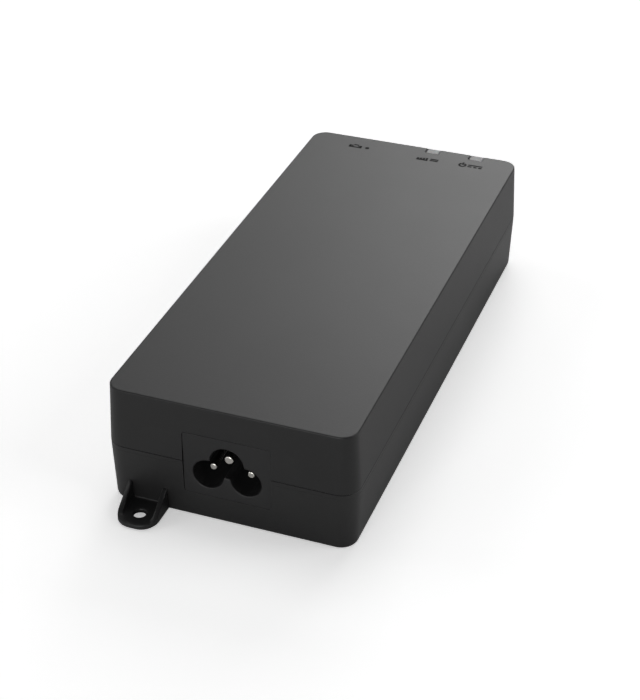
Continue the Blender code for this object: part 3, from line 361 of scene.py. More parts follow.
def case_stations():
    """The stations round the case, anticlockwise from the near end of the right side.

    Each has a foot on the rectangle through the corners' centres, an outward normal, and a turn that is
    0 on the long sides, 1 on the ends and in between round a corner.
    """
    feet, normals, turns = [], [], []
    corner = np.linspace(0.0, 1.0, CORNER_STEPS + 1)[1:-1]
    runs = ((1, 1, LINES_Y), (-1, 1, LINES_X[::-1]), (-1, -1, LINES_Y[::-1]), (1, -1, LINES_X))
    for side, (sx, sy, run) in enumerate(runs):
        on_end = side % 2
        foot = at(run, sy * FOOT_Y) if on_end else at(sx * FOOT_X, run)
        feet += [foot, np.tile(foot[-1], (len(corner), 1))]
        straight = np.tile([0.0, sy] if on_end else [sx, 0.0], (len(run), 1))
        normals += [straight, polar(math.pi / 2 * (side + corner))]
        turns += [np.full(len(run), float(on_end)), 1 - corner if on_end else corner]
    return [np.concatenate(parts) for parts in (feet, normals, turns)]


FEET, NORMALS, TURNS = case_stations()


def case_rings(rows):
    """Points round the case for (inset, height) rows: foot + normal x (corner radius - inset)."""
    inset, height = rows[:, :1, None], rows[:, 1:]
    flat = FEET + NORMALS * (CORNER_RADIUS - inset)
    return at(flat[..., 0], flat[..., 1], height)


def stations_of(end, edges):
    """The numbers of the stations on the -Y or +Y end that lie at two edges, in order."""
    on_end = np.isclose(NORMALS[:, 1], end)
    return sorted(int(np.flatnonzero(on_end & np.isclose(FEET[:, 0], x, atol=1e-7))[0]) for x in edges)


def walls(heights, depth=0.0):
    """Rows of a drafted wall at these heights, its outer face at depth 0."""
    return [(float(lean(z)) + depth, z) for z in heights]


class Shell(Surface):
    """Half of the case: outer rows up to the seam, the rim at the seam, then inner rows back."""

    def __init__(self, outer, rim, inner):
        super().__init__()
        self.rows = np.array([*outer, *rim, *inner])
        self.last_outer, self.first_inner = len(outer) - 1, len(outer) + len(rim)
        self.rings = case_rings(self.rows)
        self.keep = np.ones((len(self.rows) - 1, len(FEET)), bool)

    def rows_at(self, z):
        """The numbers of the outer and the inner row at height z."""
        found = np.flatnonzero(np.isclose(self.rows[:, 1], z, atol=1e-7))
        return found[found <= self.last_outer][0], found[found >= self.first_inner][0]

    def open_to_seam(self, opening, edge, inward):
        """Cuts an opening across the seam, from its edge at a height. Inward is +1 if the hole is above it.

        A flat face fills each rounded corner out to the square one, and quads join the hole's outer
        edge to its inner one.
        """
        left, right = stations_of(opening.end, (opening.low_x, opening.high_x))
        outer, inner = self.rows_at(edge)
        self.keep[outer:inner, left:right] = False
        up, across = quarter(opening.radius, HOLE_STEPS)
        z = edge + inward * up
        paths = []
        for row, depth in ((outer, 0.0), (inner, WALL)):
            curves = []
            for column, beside in ((left, left + 1), (right, right - 1)):
                corner = self.rings[row, column]
                away = math.copysign(1.0, self.rings[row, beside, 0] - corner[0])
                y = opening.end * (HALF_Y - lean(z) - depth)
                curves.append(at(corner[0] + away * across, y, z))
                self.polygons(np.vstack([corner, curves[-1]]))
            between = self.rings[row, left + 1:right]
            paths.append(np.vstack([curves[0][:-1], between, curves[1][::-1][1:]]))
        self.sheet(paths)
        self.polygons(*(self.rings[outer + 1:inner, column] for column in (left, right)))

    def open_window(self, edges, back, bottom):
        """Cuts a notch over the far top edge, from a row of the roof down to a height on the wall."""
        left, right = stations_of(1, edges)
        outer_back, inner_back = np.flatnonzero(np.isclose(self.rows[:, 0], back))[[0, -1]]
        outer_low, inner_low = self.rows_at(bottom)
        self.keep[outer_back:outer_low, left:right] = False
        self.keep[inner_low:inner_back, left:right] = False
        self.sheet(self.rings[[outer_back, inner_back], left:right + 1])
        self.sheet(self.rings[[outer_low, inner_low], left:right + 1])
        for column in (left, right):
            outside = self.rings[outer_back:outer_low + 1, column]
            self.polygons(np.vstack([outside, self.rings[inner_low:inner_back + 1, column]]))

    def close(self, *levels):
        """Adds a flat middle at each level, then the rings, less the cells that the openings took."""
        x, y = np.meshgrid(LINES_X, LINES_Y, indexing="ij")
        for z in levels:
            self.sheet(at(x, y, z))
        self.sheet(self.rings, around=True, keep=self.keep)


def quarter_round(inset, z, radius, start, end):
    """Rows of a quarter-round edge about a middle at (inset, z)."""
    angle = arc(start, end, ROUND_STEPS)
    return list(zip(inset - radius * np.cos(angle), z + radius * np.sin(angle)))


def cover_shell(material):
    """The top cover: roof, rounded edge, drafted wall, seam chamfer, lip groove and inner faces."""
    edge, ceiling, bottom = TOP - TOP_ROUND, TOP - WALL, SEAM + SEAM_GAP / 2
    roof_inset = float(lean(TOP)) + TOP_ROUND
    window_back = COVER_LEAN + WINDOW_DEPTH + WINDOW_GAP
    window_low = TOP - WINDOW_DROP - WINDOW_GAP
    groove_top = SEAM + LIP_HEIGHT + GROOVE_ROOM
    holes = [window_low, *INLET_OPENING.marks_above, *PORT_OPENINGS[0].marks_above]
    outer = [(CORNER_RADIUS, TOP), (window_back, TOP), (roof_inset + SUPPORT, TOP)]
    outer += quarter_round(roof_inset, edge, TOP_ROUND, 90, 0)
    outer += walls([edge - SUPPORT, *holes, bottom + SEAM_CHAMFER + SUPPORT, bottom + SEAM_CHAMFER])
    rim = [(SEAM_CHAMFER, bottom), (GROOVE_OUTER, bottom), (GROOVE_OUTER, groove_top)]
    rim += walls([groove_top], WALL)
    inner = walls([*holes[::-1], ceiling], WALL) + [(window_back, ceiling), (CORNER_RADIUS, ceiling)]
    shell = Shell(outer, rim, inner)
    for opening in OPENINGS:
        shell.open_to_seam(opening, opening.high_z, -1)
    for edges in WINDOW_EDGES:
        shell.open_window(edges, window_back, window_low)
    shell.close(TOP, ceiling)
    shell.piece("cover_shell", "cover_plastic", material, ["top_cover"], rounding=RIM_ROUND)


def base_shell(material):
    """The lower shell: underside with wells, rounded edge, wall with a band, lip, floor and ears."""
    rim_z = SEAM - SEAM_GAP / 2
    band = rim_z - BAND_HEIGHT
    holes = PORT_OPENINGS[0].marks_below + INLET_OPENING.marks_below
    outer = quarter_round(BASE_LEAN + BOTTOM_ROUND, BOTTOM_ROUND, BOTTOM_ROUND, -90, 0)[:-1]
    outer += walls([BOTTOM_ROUND, BOTTOM_ROUND + SUPPORT, *holes, band - SUPPORT, band])
    rim = [
        (float(lean(band)) + BAND_DEPTH, band + BAND_DEPTH),
        (BAND_DEPTH, rim_z - SEAM_CHAMFER),
        (BAND_DEPTH + SEAM_CHAMFER, rim_z),
        (LIP_OUTER, rim_z),
        (LIP_OUTER, SEAM + LIP_HEIGHT),
        (WALL, SEAM + LIP_HEIGHT),
    ]
    shell = Shell(outer, rim, walls([*holes[::-1], WALL], WALL) + [(CORNER_RADIUS, WALL)])
    for opening in OPENINGS:
        shell.open_to_seam(opening, opening.low_z, 1)
    shell.close(WALL)
    underside(shell)
    ear(shell, -1)
    ear(shell, 1)
    shell.piece("base_shell", "base_plastic", material, ["base_case"], rounding=RIM_ROUND)


def underside(shell):
    """The flat underside: a grid less a square round each screw, a margin to the rounded edge, and wells.

    A well's rings lie midway between the directions of the square's points and equal steps of angle.
    """
    extra = np.array([WELL_X + WELL_BLOCK - FOOT_X, WELL_Y + WELL_BLOCK - FOOT_Y])
    beyond = np.linspace(0.0, 1.0, CORNER_STEPS // 2 + 1)[1:]
    lines = [
        np.concatenate([-(foot + e * beyond)[::-1], run, foot + e * beyond])
        for foot, e, run in ((FOOT_X, extra[0], LINES_X), (FOOT_Y, extra[1], LINES_Y))
    ]
    x, y = np.meshgrid(*lines, indexing="ij")
    middle_x, middle_y = [np.abs(run[1:] + run[:-1]) / 2 for run in lines]
    in_block = (middle_x > WELL_X - WELL_BLOCK)[:, None] & (middle_y > WELL_Y - WELL_BLOCK)
    shell.sheet(at(x, y, 0.0), keep=~in_block)
    margin = FEET + np.sign(FEET) * extra * np.minimum(1, 2 * at(1 - TURNS, TURNS))
    shell.tube(at(*margin.T, 0.0), shell.rings[0])
    rows = (
        (WELL_RADIUS + WELL_ROUND, 0.0),
        (WELL_RADIUS + WELL_ROUND * 0.3, WELL_ROUND * 0.3),
        (WELL_RADIUS, WELL_ROUND),
        (WELL_RADIUS, WELL_DEPTH),
        (0.0, WELL_DEPTH),
    )
    for place in SCREW_PLACES:
        across, along = [run[np.abs(run - p) < WELL_BLOCK + 1e-7] for run, p in zip(lines, place)]
        sides = (
            at(across[-1], along),
            at(across[::-1], along[-1]),
            at(across[0], along[::-1]),
            at(across, along[0]),
        )
        square = np.concatenate([side[:-1] for side in sides])
        seen = bearings(square, place)
        angle = (seen + seen[0] + 2 * math.pi * np.arange(len(square)) / len(square)) / 2
        rings = [at(*(place + polar(angle, radius)).T, z) for radius, z in rows]
        shell.tube(at(*square.T, 0.0), *rings)


def ear_outline(inset):
    """The ear's outline drawn in by the inset, anticlockwise, as (across, out from the wall)."""
    half, tip = EAR_HALF - inset, EAR_REACH - inset
    root, radius = inset - EAR_ROOT, EAR_TIP_RADIUS - inset
    corner = polar(arc(0, 90, 12)[1:-1], radius) + [half - radius, tip - radius]
    right = np.concatenate([at(half, np.linspace(root, tip - radius, 15)), corner])
    front = at(np.linspace(half - radius, radius - half, 5), tip)
    back = at(np.linspace(-half, half, 11)[1:-1], root)
    return np.concatenate([right, front, right[::-1] * [-1, 1], back])


def ear(shell, sign):
    """A fixing ear: a plate with a hole, and ribs at its sides that slope down to the tip.

    Its rings are the hole's lower rim, the underside's outline as far as the wall, the outline drawn
    in by each inset, then the hole's bore. A rib's height over the plate is (1 - way out / reach)^1.15
    of its height at the wall.
    """
    centre = [0.0, EAR_HOLE_OUT]
    outline = ear_outline(0.0)
    seen = bearings(outline, centre)
    rib = (RIB_HEIGHT - EAR_THICKNESS) * (1 - np.clip(outline[:, 1] / RIB_REACH, 0.0, 1.0)) ** 1.15
    thick, top, rim = EAR_THICKNESS, EAR_THICKNESS + rib, EAR_HOLE_RIM
    # Inside the wall the root's underside rises, clear of the case's own
    low = 0.3 * MM * smoothstep((-0.2 * MM - outline[:, 1]) / (0.6 * MM))
    wall, middle = HALF_Y - BASE_LEAN, (HALF_X - EAR_OFF_SIDE) * sign
    profile = (
        (rim, low),
        (0.0, low + rim),
        (0.0, top - RIB_ROUND),
        (0.1 * MM, top - 0.1 * MM),
        (RIB_ROUND, top),
        (RIB_WIDTH - RIB_ROUND, top),
        (RIB_WIDTH - 0.1 * MM, thick + 0.96 * rib),
        (RIB_WIDTH, thick + 0.88 * rib),
        (RIB_WIDTH + 0.05 * MM, thick + 0.12 * rib),
        (RIB_WIDTH + 0.2 * MM, thick + 0.03 * rib),
        (RIB_WIDTH + 0.5 * MM, thick),
    )
    bore = ((1.5 * rim, thick), (rim, thick), (0.3 * rim, thick - 0.3 * rim), (0.0, thick - rim))
    bore += ((0.0, rim), (rim, 0.0))

    def ring(flat, z):
        return at(middle + sign * flat[:, 0], sign * (wall + flat[:, 1]), z)

    def hole(growth, z):
        return ring(centre + polar(seen, EAR_HOLE_RADIUS + growth), z)

    shell.tube(
        hole(rim, 0.0),
        ring(np.maximum(ear_outline(rim), [-np.inf, -0.2 * MM]), 0.0),
        *(ring(ear_outline(inset), z) for inset, z in profile),
        *(hole(growth, z) for growth, z in bore),
    )
    across = np.linspace(-1, 1, 9) * (EAR_HALF - RIB_WIDTH)
    out, rise = quarter(EAR_FILLET, 5)
    out = np.append(out, [-EAR_FILLET, -EAR_FILLET, EAR_FILLET])
    rise = np.append(rise, [EAR_FILLET, -0.3 * MM, -0.3 * MM])
    strip = at(across[:, None] * sign + middle, sign * (wall + out), thick + rise)
    shell.prism(*strip)


# --- Inlet ---

INLET_FACE_ROUND = 0.8 * MM
INLET_EDGE_ROUND = 0.06 * MM
INLET_RIM_ROUND = 0.04 * MM
FLANGE_BACK = 2.5 * MM
FLANGE_THICKNESS = 1.5 * MM
RECESS_DEPTH = 14.0 * MM
MOUTH_ROUND = 0.3 * MM
LOBE_SPREAD = 4.93 * MM
LOBE_RADIUS = 4.0 * MM
CROWN_RADIUS = 4.4 * MM
CROWN_RISE = 4.2 * MM
PIN_ROUND = 0.4 * MM
PIN_TAIL = 0.3 * MM
PIN_FORWARD = 0.3 * MM
PIN_SLIMMER = 0.15 * MM  # the two outer pins


def upright(loop, y):
    """A loop of (x, z) stood up across the case at y."""
    return at(loop[:, 0], y, loop[:, 1])


def cloverleaf(x, z):
    """The recess's outline: arcs of two lobes at height z and of a crown over them, from the notch.

    Each arc ends where its circle crosses the next one: along the line of centres by
    (d^2 + a^2 - b^2) / 2d, and off it by the rest of the radius.
    """
    apart = math.hypot(LOBE_SPREAD, CROWN_RISE)
    along = (apart**2 + LOBE_RADIUS**2 - CROWN_RADIUS**2) / (2 * apart)
    off = math.sqrt(LOBE_RADIUS**2 - along**2)
    toward, aside = np.array([-LOBE_SPREAD, CROWN_RISE]), np.array([CROWN_RISE, LOBE_SPREAD])
    meet = (toward * along + aside * off) / apart
    on_lobe = math.degrees(math.atan2(meet[1], meet[0]))
    on_crown = math.degrees(math.atan2(meet[1] - CROWN_RISE, meet[0] + LOBE_SPREAD))
    lobe = polar(arc(-180, on_lobe, 80), LOBE_RADIUS) + [LOBE_SPREAD, 0.0]
    crown = polar(arc(on_crown, 180 - on_crown, 60), CROWN_RADIUS) + [0.0, CROWN_RISE]
    return np.concatenate([lobe, crown, lobe[::-1] * [-1, 1]]) + [x, z]


def inlet_insert(material):
    """The three-pin inlet: a face with a cloverleaf recess, a clamping flange behind the wall, and a body.

    Rows are the recess's outline grown by (1 - cos a) of the mouth's round, then the face's outline.
    """
    low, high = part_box("inlet_housing")
    front = low.y + FACE_SHIFT.y
    half = (high.x - low.x) / 2 - FLANGE_X, (high.z - low.z) / 2 - FLANGE_Z
    face = (middle_of("inlet_housing") + FACE_SHIFT)[::2] + rounded_rectangle(*half, INLET_FACE_ROUND)
    centre = (middle_of("line_pin") + middle_of("neutral_pin")) / 2 + RECESS_SHIFT
    recess = soften(resample(cloverleaf(*centre[::2]), 150), 3)
    back, out = quarter(MOUTH_ROUND, 4)
    inside = [upright(grown(recess, o), front + b) for o, b in ((0.0, RECESS_DEPTH), *zip(out, back))]
    back, out = quarter(INLET_EDGE_ROUND, 4)[::-1]
    flange_end = FLANGE_BACK + FLANGE_THICKNESS
    flange = ((0.0, FLANGE_BACK), (FLANGE_X, FLANGE_BACK), (FLANGE_X, flange_end), (0.0, flange_end))
    steps = (*zip(-out, back), *flange, (0.0, high.y - front))
    outside = [upright(grown(face, o), front + b) for o, b in steps]
    insert = Surface()
    insert.tube(*inside)
    insert.tube(*outside)
    insert.polygons(inside[0], outside[-1])
    insert.plate(outside[0], inside[-1])
    insert.piece("inlet_insert", "inlet_plastic", material, ["inlet_housing"], rounding=INLET_RIM_ROUND)


def turned(rows, sides=32):
    """A profile of (radius, height) rows turned about the upright axis, as a grid of points."""
    angle = np.linspace(0, 2 * math.pi, sides, endpoint=False)
    radius, height = np.array(rows).T[..., None]
    return at(radius * np.cos(angle), radius * np.sin(angle), height)


def contact_pin(which, material):
    """A round pin with a flat tip whose rim is a quarter round, and a chamfered tail."""
    low, high = (corner + RECESS_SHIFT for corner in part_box(f"{which}_pin"))
    low.y -= PIN_FORWARD
    radius = (high.x - low.x) / 2 - (0.0 if which == "earth" else PIN_SLIMMER)
    length = high.y - low.y
    inset, back = quarter(PIN_ROUND, 6)
    rows = [(0.0, 0.0), (radius - PIN_ROUND - 0.1 * MM, 0.0), *zip(radius - inset, back)]
    rows += [(radius, length - PIN_TAIL), (radius - PIN_TAIL, length), (0.0, length)]
    tip = np.array([(low.x + high.x) / 2, low.y, (low.z + high.z) / 2])
    blade = Surface()
    blade.tube(*(tip + turned(rows)[..., [0, 2, 1]]))
    blade.piece(f"{which}_contact_pin", "pin_metal", material, [f"{which}_pin"])


# --- Screws ---

HEAD_HEIGHT = 1.6 * MM
HEAD_ROUND = 0.6 * MM
DRIVE_ARM = 1.5 * MM
DRIVE_HALF = 0.42 * MM
DRIVE_DEPTH = 1.15 * MM
SHANK_RADIUS = 1.15 * MM
POINT_LENGTH = 2.0 * MM
POINT_RADIUS = 0.3 * MM


def cross_recess(count):
    """A plus-shaped loop: in each direction the nearer of an arm's end, L / cos, and its side, w / sin."""
    angle = np.linspace(0, 2 * math.pi, 720, endpoint=False)
    fold = np.abs((angle + math.pi / 4) % (math.pi / 2) - math.pi / 4)
    reach = np.minimum(DRIVE_ARM / np.cos(fold), DRIVE_HALF / np.maximum(np.sin(fold), 1e-6))
    return soften(resample(polar(angle, reach), count), 1)


def case_screw(number, material):
    """A screw seen from below: a cross recess that narrows with depth, a domed head and a pointed shank."""
    low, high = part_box(f"case_screw_{number}")
    head, length = (high.x - low.x) / 2, high.z - low.z
    loop = cross_recess(96)
    circle = loop / np.linalg.norm(loop, axis=1, keepdims=True)
    drive = [(0.0, DRIVE_DEPTH), (0.3, DRIVE_DEPTH), (0.75, DRIVE_DEPTH * 0.6)]
    drive += [(0.97, 0.12 * MM), (1.04, 0.02 * MM)]
    inset, rise = quarter(HEAD_ROUND, 5)
    shank = (
        *zip(head - inset, rise),
        (head, HEAD_HEIGHT),
        (SHANK_RADIUS, HEAD_HEIGHT),
        (SHANK_RADIUS, length - POINT_LENGTH),
        (POINT_RADIUS, length),
        (0.0, length),
    )
    rings = [at(*(loop * size).T, z) for size, z in drive]
    rings += [at(*(circle * radius).T, z) for radius, z in shank]
    screw = Surface()
    screw.tube(*([*SCREW_PLACES[number - 1], low.z] + np.array(rings)))
    screw.piece(f"cross_head_screw_{number}", "screw_steel", material, [f"case_screw_{number}"])


# --- Network jacks ---

SHEET = 0.3 * MM
SHEET_ROUND = 0.1 * MM
HOUSING_ROUND = 0.08 * MM
SOCKET_WIDTH = 11.9 * MM
SOCKET_HEIGHT = 6.9 * MM
SOCKET_FLOOR = 2.3 * MM
SOCKET_DEPTH = 14.5 * MM
LATCH_HALF = 3.2 * MM
KEY_HALF = 1.7 * MM
STEP_RISE = 1.4 * MM
LATCH_DEPTH = 9.0 * MM
SOCKET_MOUTH = 0.35 * MM
WINDOW_CLEARANCE = 0.4 * MM
WIRES = 8
WIRE_PITCH = 1.02 * MM
WIRE_HALF = 0.22 * MM
WIRE_LENGTH = 6.2 * MM
WIRE_THIN = 0.75  # a wire's thickness over its width
WIRE_SLOPE = math.radians(16)
WIRE_CURL = 0.28  # the part of a wire's length that rolls over
WIRE_ROLL = 1.9  # how many times its slope it turns down there
BAR_RADIUS = 0.42 * MM
BAR_CHAMFER = 0.1 * MM
COMB_HEIGHT = 0.75 * MM
COMB_HALF = 0.13 * MM
COMB_FRONT = 4.3 * MM
COMB_ROOT = 0.2 * MM  # how far a comb's rib runs on into the housing


def socket_outline(x, z, grow=0.0):
    """The socket's stepped outline: the plug's width, the latch's, then the key's, grown by a distance."""
    levels = SOCKET_HEIGHT + STEP_RISE * np.arange(3) + grow
    corners = zip((SOCKET_WIDTH / 2, LATCH_HALF, LATCH_HALF, KEY_HALF, KEY_HALF), levels.repeat(2))
    right = np.array([(SOCKET_WIDTH / 2, -grow), *corners]) + [grow, 0.0]
    return np.concatenate([right, right[::-1] * [-1, 1]]) + [x, z]


def box_outline(left, right, low, high):
    """A rectangle's corners, anticlockwise."""
    return np.array([(left, low), (right, low), (right, high), (left, high)])


def jack_shield(port, material):
    """The jack's sheet shield: a tube with a closed back, and a front with the socket's window in it."""
    low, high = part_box(f"{port}_jack_shield")
    outer, inner = (box_outline(low.x + t, high.x - t, low.z + t, high.z - t) for t in (0.0, SHEET))
    back, front = low.y + SHEET, high.y - SHEET
    window = socket_outline((low.x + high.x) / 2, low.z + SOCKET_FLOOR, WINDOW_CLEARANCE)
    shield = Surface()
    for loop, start, end in ((outer, low.y, high.y), (inner, back, front), (window, front, high.y)):
        shield.tube(upright(loop, start), upright(loop, end))
    shield.polygons(upright(outer, low.y), upright(inner, back))
    for loop, y in ((outer, high.y), (inner, front)):
        shield.plate(upright(loop, y), upright(window, y))
    shield.piece(f"{port}_shield", "shield_tin", material, [f"{port}_jack_shield"], rounding=SHEET_ROUND)


def jack_housing(port, material):
    """The jack's moulding: a block with a stepped socket, whose latch steps end before the plug's part."""
    low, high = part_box(f"{port}_jack_housing")
    middle, floor = (low.x + high.x) / 2, low.z + SOCKET_FLOOR
    outer = box_outline(low.x, high.x, low.z, high.z)
    mouth, socket = socket_outline(middle, floor, SOCKET_MOUTH), socket_outline(middle, floor)
    steps = upright(socket, high.y - LATCH_DEPTH)
    plug = [0, 1, 2, -3, -2, -1]
    back = upright(socket[plug], high.y - SOCKET_DEPTH)
    housing = Surface()
    housing.tube(upright(outer, low.y), upright(outer, high.y))
    housing.polygons(upright(outer, low.y))
    housing.plate(upright(outer, high.y), upright(mouth, high.y))
    housing.tube(upright(mouth, high.y), upright(socket, high.y - SOCKET_MOUTH), steps)
    housing.polygons(steps[2:-2])
    housing.tube(steps[plug], back)
    housing.polygons(back)
    for gap in np.arange(WIRES + 1) - WIRES / 2:
        x = middle + gap * WIRE_PITCH
        rib = box_outline(x - COMB_HALF, x + COMB_HALF, floor - COMB_ROOT, floor + COMB_HEIGHT)
        housing.prism(upright(rib, high.y - SOCKET_DEPTH - COMB_ROOT), upright(rib, high.y - COMB_FRONT))
    replaced = [f"{port}_jack_housing"]
    housing.piece(f"{port}_housing", "jack_plastic", material, replaced, rounding=HOUSING_ROUND)


def carried(path, section):
    """A section carried along a path in an upright plane, as a grid.

    A point of the section lies across the path by its first number, and by its second along the
    path's normal, which is the tangent turned a quarter.
    """
    tangent = np.gradient(path, axis=0)
    tangent /= np.linalg.norm(tangent, axis=1, keepdims=True)
    flat = path[:, None, :] + at(-tangent[:, 1], tangent[:, 0])[:, None, :] * section[None, :, 1:]
    return at(section[:, 0], flat[..., 0], flat[..., 1])


def contact_wires(port, material):
    """Eight sprung wires on a bar. Each rises from it at the wires' slope and rolls over at its free end.

    The path's slope is the wires' angle, and falls away over the last part as a smooth step. The
    section is an ellipse over the 0.6th power of the greater of |cos| and |sin|, so nearly square.
    """
    low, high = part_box(f"{port}_jack_contacts")
    pivot = next(Vector(j["pos_m"]) for j in frame["joints"] if j["child"] == f"{port}_contacts")
    along = np.linspace(0.0, 1.0, 19)
    slope = WIRE_SLOPE * (1 - WIRE_ROLL * smoothstep((along - 1 + WIRE_CURL) / WIRE_CURL))
    run = np.cumsum(at(-np.cos(slope), np.sin(slope)) * (WIRE_LENGTH / (len(along) - 1)), axis=0)
    angle = np.linspace(0, 2 * math.pi, 12, endpoint=False)
    square = np.maximum(np.abs(np.cos(angle)), np.abs(np.sin(angle))) ** 0.6
    section = polar(angle) * WIRE_HALF * [1, WIRE_THIN] / square[:, None]
    wire = carried([pivot.y, pivot.z] + run - run[0], section)
    comb = Surface()
    for place in (np.arange(WIRES) - (WIRES - 1) / 2) * WIRE_PITCH + pivot.x:
        comb.prism(*(wire + [place, 0.0, 0.0]))
    half = (high.x - low.x) / 2
    rows = [(0.0, -half), (BAR_RADIUS - BAR_CHAMFER, -half), (BAR_RADIUS, BAR_CHAMFER - half)]
    rows += [(radius, -place) for radius, place in rows[::-1]]
    comb.tube(*(np.array(pivot) + turned(rows, 20)[..., [2, 0, 1]]))
    contacts = f"{port}_contacts"
    comb.piece(f"{port}_contact_wires", "contact_gold", material, [f"{port}_jack_contacts"], body=contacts)


# --- Light pipes and marks ---

PIPE_THICKNESS = 2.4 * MM
PIPE_CHAMFER = 1.2 * MM
PIPE_EDGE_ROUND = 0.12 * MM
PIPE_ROOF_GAP = 0.3 * MM
PIPE_SUNK = 0.06 * MM  # how far the window lies below the roof
PIPE_SET_IN = 0.03 * MM  # and behind the far wall
MARK_THICKNESS = 0.02 * MM
MARK_PEN = 0.62


def light_pipe(which, material):
    """A frosted bar: a window in the far top edge, an arm under the roof, and a leg down to its lamp."""
    low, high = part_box(f"light_pipe_{which}")
    top, arm = TOP - PIPE_SUNK, TOP - WALL - PIPE_ROOF_GAP
    far = HALF_Y - COVER_LEAN - PIPE_SET_IN
    head_low = TOP - WINDOW_DROP
    wall = HALF_Y - float(lean(head_low)) - PIPE_SET_IN
    inner = wall - WALL - COVER_LEAN - PIPE_ROOF_GAP
    leg, under = low.y + PIPE_THICKNESS, arm - PIPE_THICKNESS
    inset, drop = quarter(TOP_ROUND, 4)
    outline = np.array([
        (far - WINDOW_DEPTH, arm),
        (far - WINDOW_DEPTH, top),
        *zip(far - inset, top - drop),
        (wall, head_low),
        (inner, head_low),
        (inner, under),
        (leg, under),
        (leg, low.z),
        (low.y, low.z),
        (low.y, arm - PIPE_CHAMFER),
        (low.y + PIPE_CHAMFER, arm),
    ])
    pipe = Surface()
    pipe.prism(*(at(x, *outline.T) for x in (low.x, high.x)))
    replaced = [f"light_pipe_{which}"]
    pipe.piece(f"{which}_light_pipe", "light_pipe", material, replaced, rounding=PIPE_EDGE_ROUND)


def stroke(points):
    """A flat band along a line of points: each point moved half a pen's width to both sides of the line."""
    along = np.gradient(points, axis=0)
    along /= np.linalg.norm(along, axis=1, keepdims=True)
    side = at(-along[:, 1], along[:, 0]) * MARK_PEN / 2
    return np.concatenate([points + side, (points - side)[::-1]])


def printed_marks(material):
    """Three small pictograms on the roof, one over the data jack and one by each window, in raised ink.

    The data jack has a socket and a dot, the left window a row of level bars, and the right window a
    ring with a bar through it beside a line over three dashes. Their strokes are in millimetres.
    """
    dot = polar(arc(0, 360, 16), 0.36) + [2.55, -0.1]
    ring = polar(arc(120, 420, 24), 0.95) + [-2.6, 0.0]
    bars = [(x, -0.7, x, top) for x, top in zip(np.linspace(-2.9, -0.2, 4), (0.3, 0.45, 0.6, 0.75))]
    socket = [(-2.9, -0.9, -2.9, 0.5), (0.5, -0.9, 0.5, 0.5), (-3.0, -0.6, 0.6, -0.6)]
    socket += [(-3.1, 0.3, -1.9, 0.3), (-0.5, 0.3, 0.7, 0.3), (-1.9, 0.9, -0.5, 0.9)]
    under = [(-3.3, -0.75, 0.2, -0.75), (0.8, -0.45, 3.3, -0.45), (0.8, 0.45, 3.3, 0.45)]
    dashes = [(-2.6, 0.1, -2.6, 1.6), (-0.9, 0.5, 3.4, 0.5)]
    dashes += [(start, -0.5, end, -0.5) for start, end in ((-0.9, 0.3), (0.9, 1.9), (2.4, 3.4))]
    marks = Surface()
    for node, back, curves, lines in (
        ("data_in_jack_shield", 6.3, [dot], socket),
        ("light_pipe_left", 7.2, [], bars + under),
        ("light_pipe_right", 7.1, [ring], dashes),
    ):
        for line in (*curves, *(np.reshape(ends, (2, 2)) for ends in lines)):
            flat = stroke(line) * MM + [middle_of(node)[0], HALF_Y - COVER_LEAN - back * MM]
            marks.prism(at(*flat.T, TOP - MARK_THICKNESS), at(*flat.T, TOP + MARK_THICKNESS))
    marks.piece("printed_marks", "cover_plastic", material)


# --- Node helpers ---


class Nodes:
    """Adds nodes to a tree. A value for a socket is a number, a colour of three, or another socket."""

    def __init__(self, tree):
        self.tree = tree

    def put(self, socket, value):
        if isinstance(value, bpy.types.NodeSocket):
            self.tree.links.new(value, socket)
        elif value is not None:
            socket.default_value = (*value, 1.0) if isinstance(value, tuple) else value

    def new(self, kind, *inputs, named=(), **settings):
        node = self.tree.nodes.new("ShaderNode" + kind)
        for name, value in settings.items():
            setattr(node, name, value)
        for socket, value in zip(node.inputs, inputs):
            self.put(socket, value)
        for name, value in dict(named).items():
            self.put(node.inputs[name], value)
        return node

    def math(self, operation, *inputs, clamp=False):
        return self.new("Math", *inputs, operation=operation, use_clamp=clamp).outputs[0]

    def times(self, product, *factors):
        for factor in factors:
            product = self.math("MULTIPLY", product, factor)
        return product

    def mix(self, factor, a, b, blend="MIX"):
        node = self.new("Mix", factor, data_type="RGBA", blend_type=blend)
        self.put(node.inputs[6], a)
        self.put(node.inputs[7], b)
        return node.outputs[2]

    def shaded(self, colour, *shades):
        """A colour darkened or lightened by shades about 1."""
        for shade in shades:
            colour = self.mix(1.0, colour, shade, "MULTIPLY")
        return colour

    def noise(self, coordinates, scale, detail=2.0, roughness=0.5):
        named = {"Scale": scale, "Detail": detail, "Roughness": roughness}
        return self.new("TexNoise", coordinates, named=named).outputs["Fac"]

    def cells(self, coordinates, scale):
        return self.new("TexVoronoi", coordinates, named={"Scale": scale}, feature="F1").outputs["Distance"]

    def ramp(self, value, *stops):
        """A value passed through straight steps: each stop is (place, result)."""
        node = self.new("ValToRGB", value)
        for element, (place, result) in zip(node.color_ramp.elements, stops):
            element.position = place
            element.color = (result, result, result, 1.0)
        return node.outputs["Color"]

    def place(self, centre=(0.0, 0.0, 0.0), scale=(1.0, 1.0, 1.0)):
        """Object coordinates from a centre, scaled by a Mapping node."""
        node = self.new("Mapping", self.new("TexCoord").outputs["Object"], vector_type="POINT")
        node.inputs["Location"].default_value = [-c * s for c, s in zip(centre, scale)]
        node.inputs["Scale"].default_value = scale
        return node.outputs[0]

    def parts(self, vector):
        return self.new("SeparateXYZ", vector).outputs

    def facing_up(self):
        """The Z part of the surface's own normal."""
        return self.parts(self.new("NewGeometry").outputs["Normal"])[2]

    def effect(self, group, **values):
        """A shared effect's group, with this material's own values for its inputs."""
        node = self.new("Group")
        node.node_tree = group
        for name, value in values.items():
            self.put(node.inputs[name], value)
        return node.outputs


